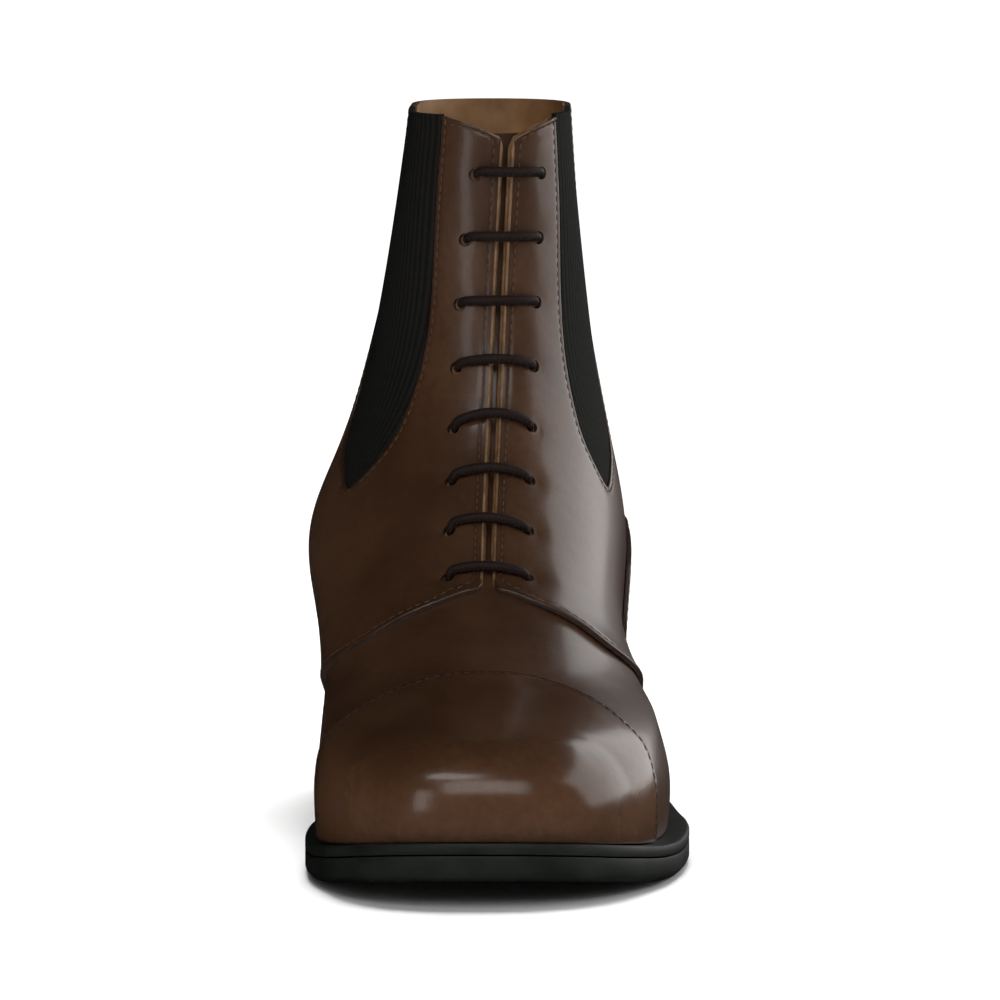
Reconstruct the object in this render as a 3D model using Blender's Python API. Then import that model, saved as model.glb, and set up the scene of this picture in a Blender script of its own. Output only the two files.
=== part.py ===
"""Paddock boot for the left foot: welted rubber sole, lace front, elastic side gores.

The boot stands on its sole with the toe along -Y, the outer side of the foot along +X
and up along +Z. The origin is the middle of the heel's tread, on the floor.
Lengths are metres.
"""
import math
from collections import namedtuple

import bmesh
import bpy
import numpy as np
from mathutils import Matrix, Vector

# Driving sizes of the upper
LENGTH = 0.2690            # heel to toe along the feather line
BALL_WIDTH = 0.0930        # across the ball at its widest
HEEL_WIDTH = 0.0670        # across the heel cup
ANKLE_WIDTH = 0.0870       # across the quarters over the heel counter
COLLAR_WIDTH = 0.0462      # across the top of the shaft
UPPER_HEIGHT = 0.1685      # heel seat to the back of the collar
TOE_HEIGHT = 0.0250        # feather line to the top of the toe box
INSTEP_HEIGHT = 0.0545     # feather line of the toe to the foot of the throat
TOE_SWING = 0.0030         # how far the toe tip leans to the inner side

# Driving sizes of the sole
TOE_SPRING = 0.0080        # tread of the toe tip over the floor
HEEL_HEIGHT = 0.0185       # heel block, floor to outsole
HEEL_BREAST = 0.0680       # heel's front face, from the back of the upper
OUTSOLE_THICKNESS = 0.0065
WELT_THICKNESS = 0.0030
SOLE_BEVEL = 0.0018        # chamfer round the outsole's tread
SOLE_MARGIN = 0.0058       # welt's edge beyond the feather line, at its widest
HEEL_TAPER = 0.0020        # how far the heel draws in at the floor
BREAST_LEAN = 0.12         # slope of the heel's front face, its foot farther back
WELT_BED = 0.0062          # how far the welt reaches inside the feather line
INSOLE_THICKNESS = 0.0030

# Driving sizes of the leathers and the closing
VAMP_WALL = 0.0022         # vamp with its lining
QUARTER_WALL = 0.0024      # quarters with their lining
LAYER = 0.0012             # one layer of upper leather laid on another
QUARTER_LAP = 0.0100       # how far the quarters lap over the vamp
CAP_SEAM = 0.229           # toe cap's seam behind the toe tip, share of LENGTH
GORE_THICKNESS = 0.0014
GORE_SINK = 0.0005         # elastic's face below the leather's
GORE_STEP = 0.0033         # the outer gore sits this far back of the mean, the inner ahead
TONGUE_THICKNESS = 0.0018
TONGUE_WIDTH = 0.0500      # round the front of the shaft, at the top
TONGUE_DROP = 0.0050       # tongue's top below the front of the collar
SLIT_WIDTH = 0.0026        # gap between the two facings
NOTCH_WIDTH = 0.0360       # the same gap where the collar opens into a shallow V
SLIT_LEAN = 0.0052         # how far the slit leans outwards by the collar
LACE_BARS = 8
LACE_DIAMETER = 0.0028
LACE_SPREAD = 0.0110       # lace hole to the middle of the slit
TOP_BAR_NARROWING = 0.15   # how much closer the top bar's holes lie
TOP_BAR_SHIFT = 0.12       # how far the top bar is pulled outwards, share of LACE_SPREAD
LACE_HOLE = 0.0046
GAP = 0.0003               # between pieces that meet
SEAT = 0.0006              # under the upper, whose facets are longer than the welt's

# Fineness of the faceted forms
AROUND = 18                # faces from the front line to the back line, each side
SOLE_AROUND = 28           # the same round the sole
END_CROWDING = 0.40        # how much closer the faces lie at the toe and the heel
HALF_STEPS_TO = 10         # rows of RINGS with a ring halfway to the next
DENSE = 90                 # points that measure a ring before it is divided evenly

HEEL_CENTRE = HEEL_BREAST / 2.0
SOLE_STACK = OUTSOLE_THICKNESS + WELT_THICKNESS


def natural_spline(xs, ys):
    """A smooth curve through the rows of a table, straight beyond its ends."""
    xs = np.asarray(xs, dtype=float)
    ys = np.asarray(ys, dtype=float)
    count = len(xs)
    steps = np.diff(xs)
    slopes = np.diff(ys) / steps
    system = np.eye(count)
    right = np.zeros(count)
    for i in range(1, count - 1):
        system[i, i - 1] = steps[i - 1]
        system[i, i] = 2.0 * (steps[i - 1] + steps[i])
        system[i, i + 1] = steps[i]
        right[i] = 6.0 * (slopes[i] - slopes[i - 1])
    bend = np.linalg.solve(system, right)

    def value(x):
        i = int(np.clip(np.searchsorted(xs, x) - 1, 0, count - 2))
        held = min(max(x, xs[0]), xs[-1])
        step = steps[i]
        a = (xs[i + 1] - held) / step
        b = (held - xs[i]) / step
        inside = a * ys[i] + b * ys[i + 1]
        inside += ((a ** 3 - a) * bend[i] + (b ** 3 - b) * bend[i + 1]) * step * step / 6.0
        end_slope = slopes[i]
        if x < xs[0]:
            end_slope -= step * bend[1] / 6.0
        elif x > xs[-1]:
            end_slope += step * bend[-2] / 6.0
        return float(inside + (x - held) * end_slope)

    return value


def even_spline(xs, ys):
    """A curve through a table's rows that never swings past them and keeps flats flat."""
    xs = [float(x) for x in xs]
    ys = [float(y) for y in ys]
    slopes = [(ys[i + 1] - ys[i]) / (xs[i + 1] - xs[i]) for i in range(len(xs) - 1)]
    tangents = [slopes[0]]
    for before, after in zip(slopes, slopes[1:]):
        same_way = before * after > 0.0
        tangents.append(2.0 * before * after / (before + after) if same_way else 0.0)
    tangents.append(slopes[-1])

    def value(x):
        held = min(max(x, xs[0]), xs[-1])
        i = min(sum(1 for edge in xs[1:] if held >= edge), len(xs) - 2)
        step = xs[i + 1] - xs[i]
        u = (held - xs[i]) / step
        start = (1.0 + 2.0 * u) * (1.0 - u) ** 2 * ys[i]
        start += u * (1.0 - u) ** 2 * step * tangents[i]
        end = u * u * (3.0 - 2.0 * u) * ys[i + 1]
        end += u * u * (u - 1.0) * step * tangents[i + 1]
        return start + end

    return value


# Tread line of the outsole: share of LENGTH from the heel, height over the floor
TREAD = (
    (-0.02, 1.02 * HEEL_HEIGHT),
    (0.12, 1.00 * HEEL_HEIGHT),
    (0.26, 0.95 * HEEL_HEIGHT),
    (0.40, 0.62 * HEEL_HEIGHT),
    (0.54, 0.14 * HEEL_HEIGHT),
    (0.62, 0.00),
    (0.76, 0.00),
    (0.85, 0.14 * TOE_SPRING),
    (0.93, 0.48 * TOE_SPRING),
    (1.02, 1.00 * TOE_SPRING),
)
tread_height = even_spline([row[0] * LENGTH for row in TREAD], [row[1] for row in TREAD])

# Sole's edge beyond the feather line: share of LENGTH from the heel, then the outer and the
# inner side as shares of SOLE_MARGIN
Margin = namedtuple("Margin", "along outer inner")
MARGINS = (
    Margin(0.00, 0.28, 0.28),
    Margin(0.22, 0.31, 0.31),
    Margin(0.42, 0.55, 0.38),
    Margin(0.68, 1.00, 0.66),
    Margin(0.90, 0.90, 0.76),
    Margin(1.00, 0.76, 0.76),
)

# Side view of the upper, a row for each ring from the feather line to the collar.
# toe_back is how far the ring's front lies behind the toe tip and heel_in how far its
# back lies inside the heel point, both as shares of LENGTH. front_up and back_up are
# heights over the feather line at the toe and at the heel. dip lets the ring's middle
# down, as a share of UPPER_HEIGHT. front_round and back_round are how far the ring takes
# to reach its full width, as shares of LENGTH, and front_power how square that turn is.
SHAFT_BASE = HEEL_HEIGHT - TOE_SPRING
Ring = namedtuple("Ring", "toe_back front_up heel_in back_up dip "
                          "front_round front_power back_round")
RINGS = (
    Ring(0.002, 0.0, 0.010, 0.0, 0.000, 0.205, 2.50, 0.125),
    Ring(0.000, 0.28 * TOE_HEIGHT, 0.003, 0.055 * UPPER_HEIGHT, 0.000, 0.210, 2.50, 0.130),
    Ring(0.006, 0.58 * TOE_HEIGHT, 0.000, 0.110 * UPPER_HEIGHT, 0.004, 0.215, 2.45, 0.135),
    Ring(0.030, 0.83 * TOE_HEIGHT, 0.002, 0.165 * UPPER_HEIGHT, 0.020, 0.225, 2.30, 0.140),
    Ring(0.078, 1.00 * TOE_HEIGHT, 0.005, 0.225 * UPPER_HEIGHT, 0.045, 0.250, 2.15, 0.145),
    Ring(0.150, 0.54 * INSTEP_HEIGHT, 0.009, 0.285 * UPPER_HEIGHT, 0.060, 0.290, 2.05, 0.150),
    Ring(0.226, 0.635 * INSTEP_HEIGHT, 0.014, 0.345 * UPPER_HEIGHT, 0.066, 0.310, 2.00, 0.150),
    Ring(0.306, 0.79 * INSTEP_HEIGHT, 0.020, 0.410 * UPPER_HEIGHT, 0.064, 0.315, 2.00, 0.150),
    Ring(0.394, 1.00 * INSTEP_HEIGHT, 0.026, 0.475 * UPPER_HEIGHT, 0.052, 0.305, 2.00, 0.150),
    Ring(0.466, SHAFT_BASE + 0.360 * UPPER_HEIGHT, 0.030, 0.545 * UPPER_HEIGHT,
         0.036, 0.285, 2.00, 0.148),
    Ring(0.524, SHAFT_BASE + 0.455 * UPPER_HEIGHT, 0.032, 0.620 * UPPER_HEIGHT,
         0.022, 0.250, 2.00, 0.142),
    Ring(0.562, SHAFT_BASE + 0.570 * UPPER_HEIGHT, 0.032, 0.705 * UPPER_HEIGHT,
         0.012, 0.205, 2.05, 0.134),
    Ring(0.577, SHAFT_BASE + 0.705 * UPPER_HEIGHT, 0.029, 0.800 * UPPER_HEIGHT,
         0.006, 0.160, 2.10, 0.126),
    Ring(0.582, SHAFT_BASE + 0.845 * UPPER_HEIGHT, 0.024, 0.900 * UPPER_HEIGHT,
         0.002, 0.125, 2.15, 0.118),
    Ring(0.586, SHAFT_BASE + 0.994 * UPPER_HEIGHT, 0.020, 1.000 * UPPER_HEIGHT,
         0.000, 0.108, 2.20, 0.110),
)
LAST_RING = len(RINGS) - 1
THROAT_RING = 7.8          # row of RINGS where the facings part
FIRST_BAR_RING = 8.0       # row of RINGS under the lowest lace bar
LAST_BAR_RING = 13.35      # row of RINGS under the highest
NOTCH_RING = 13.72         # row of RINGS where the slit starts to open into the notch

# Half widths of the upper, a row for each height over the feather line (share of
# UPPER_HEIGHT), a column for each station along the foot.
STATIONS = (0.07, 0.27, 0.43, 0.68, 0.90)     # shares of LENGTH from the heel
Widths = namedtuple("Widths", "up heel rear waist ball toe")
HALF_BALL = BALL_WIDTH / 2.0
HALF_HEEL = HEEL_WIDTH / 2.0
HALF_ANKLE = ANKLE_WIDTH / 2.0 - LAYER
HALF_COLLAR = COLLAR_WIDTH / 2.0 - LAYER
OUTER_WIDTHS = (
    Widths(0.00, 0.93 * HALF_HEEL, 0.92 * HALF_HEEL, 0.80 * HALF_BALL,
           1.03 * HALF_BALL, 0.89 * HALF_BALL),
    Widths(0.08, 1.00 * HALF_HEEL, 1.02 * HALF_HEEL, 0.81 * HALF_BALL,
           1.04 * HALF_BALL, 0.89 * HALF_BALL),
    Widths(0.18, 1.01 * HALF_HEEL, 0.86 * HALF_ANKLE, 0.84 * HALF_ANKLE,
           0.95 * HALF_BALL, 0.81 * HALF_BALL),
    Widths(0.31, 0.97 * HALF_HEEL, 0.87 * HALF_ANKLE, 0.84 * HALF_ANKLE,
           0.87 * HALF_BALL, 0.76 * HALF_BALL),
    Widths(0.42, 0.88 * HALF_HEEL, 0.80 * HALF_ANKLE, 0.82 * HALF_ANKLE,
           0.79 * HALF_BALL, 0.70 * HALF_BALL),
    Widths(0.58, 1.06 * HALF_COLLAR, 1.33 * HALF_COLLAR, 1.36 * HALF_COLLAR,
           1.34 * HALF_COLLAR, 1.30 * HALF_COLLAR),
    Widths(0.78, 0.99 * HALF_COLLAR, 1.13 * HALF_COLLAR, 1.14 * HALF_COLLAR,
           1.14 * HALF_COLLAR, 1.14 * HALF_COLLAR),
    Widths(1.00, 0.98 * HALF_COLLAR, 0.98 * HALF_COLLAR, 0.98 * HALF_COLLAR,
           0.98 * HALF_COLLAR, 0.98 * HALF_COLLAR),
)
INNER_WIDTHS = (
    Widths(0.00, 0.93 * HALF_HEEL, 0.86 * HALF_HEEL, 0.66 * HALF_BALL,
           0.92 * HALF_BALL, 0.82 * HALF_BALL),
    Widths(0.08, 1.00 * HALF_HEEL, 1.02 * HALF_HEEL, 0.78 * HALF_BALL,
           0.95 * HALF_BALL, 0.84 * HALF_BALL),
    Widths(0.18, 1.03 * HALF_HEEL, 1.00 * HALF_ANKLE, 1.02 * HALF_ANKLE,
           0.93 * HALF_BALL, 0.81 * HALF_BALL),
    Widths(0.31, 1.00 * HALF_HEEL, 1.14 * HALF_ANKLE, 1.15 * HALF_ANKLE,
           0.88 * HALF_BALL, 0.72 * HALF_BALL),
    Widths(0.42, 0.92 * HALF_HEEL, 1.01 * HALF_ANKLE, 1.03 * HALF_ANKLE,
           0.82 * HALF_BALL, 0.70 * HALF_BALL),
    Widths(0.58, 1.10 * HALF_COLLAR, 1.57 * HALF_COLLAR, 1.59 * HALF_COLLAR,
           1.47 * HALF_COLLAR, 1.38 * HALF_COLLAR),
    Widths(0.78, 1.02 * HALF_COLLAR, 1.25 * HALF_COLLAR, 1.26 * HALF_COLLAR,
           1.22 * HALF_COLLAR, 1.22 * HALF_COLLAR),
    Widths(1.00, 0.99 * HALF_COLLAR, 1.01 * HALF_COLLAR, 1.01 * HALF_COLLAR,
           1.01 * HALF_COLLAR, 1.01 * HALF_COLLAR),
)


def outsole_top(along):
    """Height of the outsole's upper face, under the welt."""
    return tread_height(along) + OUTSOLE_THICKNESS


def sole_top(along):
    """Height of the welt's top face, where the upper stands."""
    return tread_height(along) + SOLE_STACK


def width_map(rows):
    """Half width at any place along the foot and any height over the feather line."""
    station_places = [share * LENGTH for share in STATIONS]
    heights = [row.up * UPPER_HEIGHT for row in rows]
    columns = [natural_spline(heights, [row[1 + k] for row in rows])
               for k in range(len(STATIONS))]

    def value(along, up):
        held_up = min(max(up, 0.0), heights[-1])
        held = min(max(along, station_places[0]), station_places[-1])
        return natural_spline(station_places, [column(held_up) for column in columns])(held)

    return value


half_widths = {+1: width_map(OUTER_WIDTHS), -1: width_map(INNER_WIDTHS)}
ring_columns = {name: natural_spline(range(len(RINGS)), [getattr(row, name) for row in RINGS])
                for name in Ring._fields}


def turn_in(distance, reach, power):
    """From 0 on the edge of a form to 1 where it has its full width."""
    left = 1.0 - min(max(distance / reach, 0.0), 1.0)
    return (1.0 - left ** power) ** (1.0 / power)


def y_at(along):
    """Place along the foot as a Y coordinate."""
    return HEEL_CENTRE - along


def centre_x(along):
    """The toe's lean to the inner side."""
    share = min(max((along / LENGTH - 0.60) / 0.40, 0.0), 1.0)
    return -TOE_SWING * share * share


def ring_line(ring):
    """Ends of a ring in the side view: (along, height) at the back and at the front."""
    get = {name: column(ring) for name, column in ring_columns.items()}
    back = (get["heel_in"] * LENGTH, sole_top(0.0) + SEAT + get["back_up"])
    front = (LENGTH * (1.0 - get["toe_back"]), sole_top(LENGTH) + SEAT + get["front_up"])
    return back, front, get


def ring_side(ring, side, count):
    """One side of a ring, as points from the front line to the back line."""
    back, front, get = ring_line(ring)
    feather_back, feather_front, _ = ring_line(0.0)
    reach = math.hypot(front[0] - back[0], front[1] - back[1])
    fade = max(1.0 - ring / LAST_RING, 0.0) ** 2.0
    points = []
    for i in range(DENSE + 1):
        t = 0.5 * (1.0 + math.cos(math.pi * i / DENSE))
        along = back[0] + (front[0] - back[0]) * t
        height = back[1] + (front[1] - back[1]) * t
        foot_along = feather_back[0] + (feather_front[0] - feather_back[0]) * t
        chord = feather_back[1] + (feather_front[1] - feather_back[1]) * t
        height += fade * (sole_top(foot_along) + SEAT - chord)
        height -= get["dip"] * UPPER_HEIGHT * math.sin(math.pi * t) ** 1.5
        width = half_widths[side](along, height - sole_top(along) - SEAT)
        width *= turn_in(reach * (1.0 - t), get["front_round"] * LENGTH, get["front_power"])
        width *= turn_in(reach * t, get["back_round"] * LENGTH, 2.2)
        points.append(Vector((centre_x(along) + side * width, y_at(along), height)))
    return divide(points, count)


def divide(points, count):
    """The same curve with fewer points, which lie closer together near its two ends."""
    run = [0.0]
    for a, b in zip(points, points[1:]):
        run.append(run[-1] + (b - a).length)
    placed = []
    k = 0
    for i in range(count + 1):
        share = i / count
        share -= END_CROWDING * math.sin(2.0 * math.pi * share) / (2.0 * math.pi)
        target = run[-1] * share
        while k < len(run) - 2 and run[k + 1] < target:
            k += 1
        between = (target - run[k]) / (run[k + 1] - run[k])
        placed.append(points[k].lerp(points[k + 1], between))
    return placed


def full_ring(ring, count):
    """A whole ring, from the front line round the outer side and back by the inner side."""
    outer = ring_side(ring, +1, count)
    inner = ring_side(ring, -1, count)
    return outer + inner[-2:0:-1]


ring_marks = [0.5 * i for i in range(2 * HALF_STEPS_TO)]
ring_marks += [float(row) for row in range(HALF_STEPS_TO, LAST_RING + 1)]
base_rings = [full_ring(mark, AROUND) for mark in ring_marks]
RING_POINTS = len(base_rings[0])


def grid_normals(rings):
    """Outward directions of a closed ring grid; the two rims stay level."""
    normals = []
    for r, ring in enumerate(rings):
        below = rings[max(r - 1, 0)]
        above = rings[min(r + 1, len(rings) - 1)]
        row = []
        for k in range(len(ring)):
            round_way = ring[(k + 1) % len(ring)] - ring[k - 1]
            normal = round_way.cross(above[k] - below[k])
            if r in (0, len(rings) - 1):
                normal.z = 0.0
            row.append(normal.normalized())
        normals.append(row)
    return normals


base_normals = grid_normals(base_rings)


def surface(ring, k, offset=0.0):
    """Point k of the row at a whole or broken ring number, moved outwards by offset."""
    low = sum(1 for mark in ring_marks[1:-1] if ring >= mark)
    share = (ring - ring_marks[low]) / (ring_marks[low + 1] - ring_marks[low])
    foot = int(math.floor(k))
    along = k - foot
    corners = []
    for r in (low, low + 1):
        here = base_rings[r][foot % RING_POINTS]
        there = base_rings[r][(foot + 1) % RING_POINTS]
        way = base_normals[r][foot % RING_POINTS].lerp(base_normals[r][(foot + 1) % RING_POINTS],
                                                       along)
        corners.append((here.lerp(there, along), way))
    point = corners[0][0].lerp(corners[1][0], share)
    way = corners[0][1].lerp(corners[1][1], share).normalized()
    return point + way * offset, way


def across(ring, distance, offset=0.0):
    """Surface point at a distance round the ring from the front line, outer side positive."""
    k = 0.0
    step = 0.25 if distance > 0.0 else -0.25
    left = abs(distance)
    here = surface(ring, k)[0]
    while left > 0.0:
        there = surface(ring, k + step)[0]
        length = (there - here).length
        if length >= left:
            k += step * left / length
            break
        left -= length
        k += step
        here = there
    return surface(ring, k, offset)


# Materials

Finish = namedtuple("Finish", "colour roughness")
FINISHES = {
    "brown_leather": Finish((0.060, 0.030, 0.018), 0.35),
    "lining_leather": Finish((0.330, 0.215, 0.110), 0.60),
    "elastic": Finish((0.016, 0.016, 0.013), 0.80),
    "sole_rubber": Finish((0.022, 0.024, 0.020), 0.65),
    "lace_cord": Finish((0.030, 0.014, 0.009), 0.70),
}


def material(name):
    made = bpy.data.materials.get(name)
    if made is None:
        made = bpy.data.materials.new(name)
        made.use_nodes = True
        shader = made.node_tree.nodes["Principled BSDF"]
        shader.inputs["Base Color"].default_value = (*FINISHES[name].colour, 1.0)
        shader.inputs["Roughness"].default_value = FINISHES[name].roughness
        shader.inputs["Metallic"].default_value = 0.0
    return made


# Mesh helpers

def add_object(name, bm, finish=None):
    mesh = bpy.data.meshes.new(name)
    bm.to_mesh(mesh)
    bm.free()
    made = bpy.data.objects.new(name, mesh)
    bpy.context.scene.collection.objects.link(made)
    if finish is None:
        made.hide_render = True
        made.display_type = 'WIRE'
    else:
        mesh.materials.append(material(finish))
        mesh.shade_smooth()
        mesh.set_sharp_from_angle(angle=math.radians(35.0))
    return made


def add_loops(bm, loops, closed_ends=True, joined_ends=False):
    """Bridge a row of closed loops; cap the two end loops or join them to each other."""
    rows = [[bm.verts.new(point) for point in loop] for loop in loops]
    pairs = list(zip(rows, rows[1:]))
    if joined_ends:
        pairs.append((rows[-1], rows[0]))
    for low, high in pairs:
        for k in range(len(low)):
            after = (k + 1) % len(low)
            bm.faces.new((low[k], low[after], high[after], high[k]))
    if closed_ends and not joined_ends:
        bm.faces.new(list(reversed(rows[0])))
        bm.faces.new(rows[-1])
    return rows


def shell(name, outer, inner, finish=None):
    """The upper's form between two offsets from its base surface, open at both rims."""
    bm = bmesh.new()
    walls = []
    for offset in (outer, inner):
        walls.append([[bm.verts.new(p + n * offset) for p, n in zip(row, ways)]
                      for row, ways in zip(base_rings, base_normals)])
    for wall, outward in zip(walls, (True, False)):
        for low, high in zip(wall, wall[1:]):
            for k in range(RING_POINTS):
                after = (k + 1) % RING_POINTS
                for corners in ((low[k], low[after], high[after]), (low[k], high[after], high[k])):
                    bm.faces.new(corners if outward else corners[::-1])
    outside, inside = walls
    for k in range(RING_POINTS):
        after = (k + 1) % RING_POINTS
        bm.faces.new((outside[0][after], outside[0][k], inside[0][k], inside[0][after]))
        bm.faces.new((outside[-1][k], outside[-1][after], inside[-1][after], inside[-1][k]))
    return add_object(name, bm, finish)


def prism(name, outline, x_low, x_high):
    """A side-view outline of (along, height) points, extruded across the boot."""
    bm = bmesh.new()
    verts = [bm.verts.new((x_low, y_at(along), height)) for along, height in outline]
    face = bm.faces.new(verts)
    moved = bmesh.ops.extrude_face_region(bm, geom=[face])
    top = [item for item in moved["geom"] if isinstance(item, bmesh.types.BMVert)]
    bmesh.ops.translate(bm, verts=top, vec=(x_high - x_low, 0.0, 0.0))
    bmesh.ops.recalc_face_normals(bm, faces=bm.faces)
    return add_object(name, bm)


def turned_prism(name, inner_outline, outer_outline):
    """A cutter across the boot whose side view differs on its inner and outer sides."""
    bm = bmesh.new()
    sections = ((-WIDE, inner_outline), (-SLIT_WIDTH, inner_outline),
                (SLIT_WIDTH, outer_outline), (WIDE, outer_outline))
    add_loops(bm, [[Vector((x, y_at(along), height)) for along, height in outline_points]
                   for x, outline_points in sections])
    bmesh.ops.recalc_face_normals(bm, faces=bm.faces)
    return add_object(name, bm)


def boolean(target, tool, operation):
    cut = target.modifiers.new(operation.lower(), 'BOOLEAN')
    cut.operation = operation
    cut.solver = 'EXACT'
    cut.object = tool


# Side-view lines that the leathers are cut to

WIDE = BALL_WIDTH                     # farther out than any wall
LOW = -LENGTH                         # below the floor
HIGH = 2.0 * UPPER_HEIGHT             # above the collar


def smooth_outline(points, steps=4):
    """A curve through a few points, as a list of more."""
    ks = range(len(points))
    curves = [natural_spline(ks, [p[axis] for p in points]) for axis in (0, 1)]
    count = (len(points) - 1) * steps
    return [tuple(curve(i / steps) for curve in curves) for i in range(count + 1)]


def front_line(ring):
    """Where a ring meets the front line, in the side view."""
    return ring_line(ring)[1]


# Quarters' free edge from the foot of the throat: up as a share of the throat's height over
# the sole, then ahead on the outer and on the inner side as shares of LENGTH
QuarterRow = namedtuple("QuarterRow", "up outer inner")
QUARTER_EDGE = (
    QuarterRow(0.60, -0.008, -0.008),
    QuarterRow(0.20, -0.007, -0.007),
    QuarterRow(0.02, -0.004, -0.004),
    QuarterRow(-0.05, 0.009, 0.009),
    QuarterRow(-0.15, 0.013, 0.012),
    QuarterRow(-0.24, 0.008, 0.000),
    QuarterRow(-0.33, -0.018, -0.030),
    QuarterRow(-0.46, -0.065, -0.075),
    QuarterRow(-0.65, -0.120, -0.125),
    QuarterRow(-0.88, -0.165, -0.170),
    QuarterRow(-1.20, -0.205, -0.210),
)


def quarter_edge(side, shift=0.0):
    """Free front edge of the quarters, from over the throat down to below the sole."""
    along, height = front_line(THROAT_RING)
    drop = height - sole_top(along)
    edge = []
    for row in QUARTER_EDGE:
        ahead = row.outer if side > 0 else row.inner
        edge.append((along + ahead * LENGTH + shift, height + row.up * drop))
    return smooth_outline(edge, 3)


# Toe cap's seam from its place on the sole: up as a share of the vamp's height there, then
# ahead on the outer and on the inner side as shares of LENGTH
CapRow = namedtuple("CapRow", "up outer inner")
CAP_EDGE = (
    CapRow(1.60, -0.002, -0.002),
    CapRow(1.00, -0.002, -0.002),
    CapRow(0.84, 0.005, 0.004),
    CapRow(0.71, 0.023, 0.019),
    CapRow(0.58, 0.047, 0.033),
    CapRow(0.36, 0.062, 0.037),
    CapRow(0.08, 0.066, 0.032),
    CapRow(-0.40, 0.062, 0.010),
)

# Counter's front and top edge: share of LENGTH from the heel, share of UPPER_HEIGHT
COUNTER_EDGE = (
    (0.327, -0.60), (0.319, 0.020), (0.309, 0.170), (0.282, 0.270), (0.225, 0.297),
    (0.130, 0.305), (-0.060, 0.325),
)

# Gore's edges: share of LENGTH from the heel, share of UPPER_HEIGHT over the heel seat
GORE_EDGES = (
    (0.386, 1.02), (0.387, 0.80), (0.391, 0.64), (0.398, 0.52), (0.404, 0.44), (0.388, 0.378),
    (0.350, 0.395), (0.300, 0.440), (0.262, 0.520), (0.232, 0.660), (0.212, 0.830),
    (0.205, 1.02),
)


def gore_outline(side, inset=0.0):
    """Elastic gore: a rounded V, wide at the collar and closed over the counter."""
    base = sole_top(0.0)
    shift = -side * GORE_STEP
    points = []
    for along, up in GORE_EDGES:
        points.append((along * LENGTH + shift, base + up * UPPER_HEIGHT))
    curve = smooth_outline(points, 2)
    if inset:
        curve = inset_outline(curve, inset)
    top = base + 1.10 * UPPER_HEIGHT
    return [(curve[0][0], top)] + curve + [(curve[-1][0], top)]


def inset_outline(curve, inset):
    """An open curve moved to the side where the form that it bounds lies."""
    moved = []
    for i, point in enumerate(curve):
        before = curve[max(i - 1, 0)]
        after = curve[min(i + 1, len(curve) - 1)]
        way = Vector((after[0] - before[0], after[1] - before[1])).normalized()
        moved.append((point[0] + way.y * inset, point[1] - way.x * inset))
    return moved


def closed_block(edge, far):
    """Outline of all that lies between a downward edge and a far place along the foot."""
    return [(far, HIGH), (edge[0][0], HIGH)] + edge + [(far, edge[-1][1])]


# Upper

def make_upper():
    """Vamp and quarters as one hollow wall, open at the collar, throat and underneath."""
    quarters = shell("upper", LAYER, LAYER - QUARTER_WALL, "brown_leather")
    ahead = [closed_block(quarter_edge(side), 2.0 * LENGTH) for side in (-1, 1)]
    boolean(quarters, turned_prism("cut_ahead_of_quarters", *ahead), 'DIFFERENCE')

    vamp = shell("vamp_form", 0.0, -VAMP_WALL)
    behind = [closed_block(quarter_edge(side, -QUARTER_LAP), -LENGTH) for side in (-1, 1)]
    boolean(vamp, turned_prism("cut_behind_vamp", *behind), 'DIFFERENCE')
    boolean(quarters, vamp, 'UNION')
    for side, low, high in ((-1, -WIDE, 0.0), (1, 0.0, WIDE)):
        window = prism("gore_window", gore_outline(side), low, high)
        boolean(quarters, window, 'DIFFERENCE')
    boolean(quarters, throat_cutter(), 'DIFFERENCE')
    boolean(quarters, lace_hole_cutter(), 'DIFFERENCE')
    return quarters


def slit_x(ring):
    """The slit's distance round the front from the front line, growing up the shaft."""
    share = min(max((ring - THROAT_RING) / (LAST_RING - THROAT_RING), 0.0), 1.0)
    return SLIT_LEAN * share ** 1.6


def throat_cutter():
    """A thin leaf along the front line that parts the facings and opens into the notch."""
    rows = []
    rings = [THROAT_RING + 0.12] + [0.5 * i for i in range(17, int(2 * NOTCH_RING) + 1)]
    rings += [NOTCH_RING, NOTCH_RING + 0.10, NOTCH_RING + 0.19, float(LAST_RING),
              LAST_RING + 0.25]
    for ring in rings:
        opened = min(max((ring - NOTCH_RING) / (LAST_RING - NOTCH_RING), 0.0), 1.2)
        half = 0.5 * (SLIT_WIDTH + (NOTCH_WIDTH - SLIT_WIDTH) * opened ** 1.4)
        _, way = across(ring, 0.0)
        out = Vector((0.0, way.y, way.z))
        middle = across(ring, slit_x(ring))[0]
        outwards, inwards = 2.5 * QUARTER_WALL, -7.0 * QUARTER_WALL
        rows.append([middle + Vector((side * half, 0.0, 0.0)) + out * depth
                     for side, depth in ((-1, outwards), (-1, inwards), (1, inwards),
                                         (1, outwards))])
    bm = bmesh.new()
    add_loops(bm, rows)
    bmesh.ops.recalc_face_normals(bm, faces=bm.faces)
    return add_object("throat_cutter", bm)


def bar_rings():
    """Rows of the profile that the lace bars lie at, evenly up the front."""
    step = (LAST_BAR_RING - FIRST_BAR_RING) / 40.0
    run = [0.0]
    marks = [FIRST_BAR_RING + step * i for i in range(41)]
    for low, high in zip(marks, marks[1:]):
        a = Vector(front_line(low))
        b = Vector(front_line(high))
        run.append(run[-1] + (b - a).length)
    places = []
    for bar in range(LACE_BARS):
        target = run[-1] * bar / (LACE_BARS - 1)
        places.append(float(np.interp(target, run, marks)))
    return places


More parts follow.
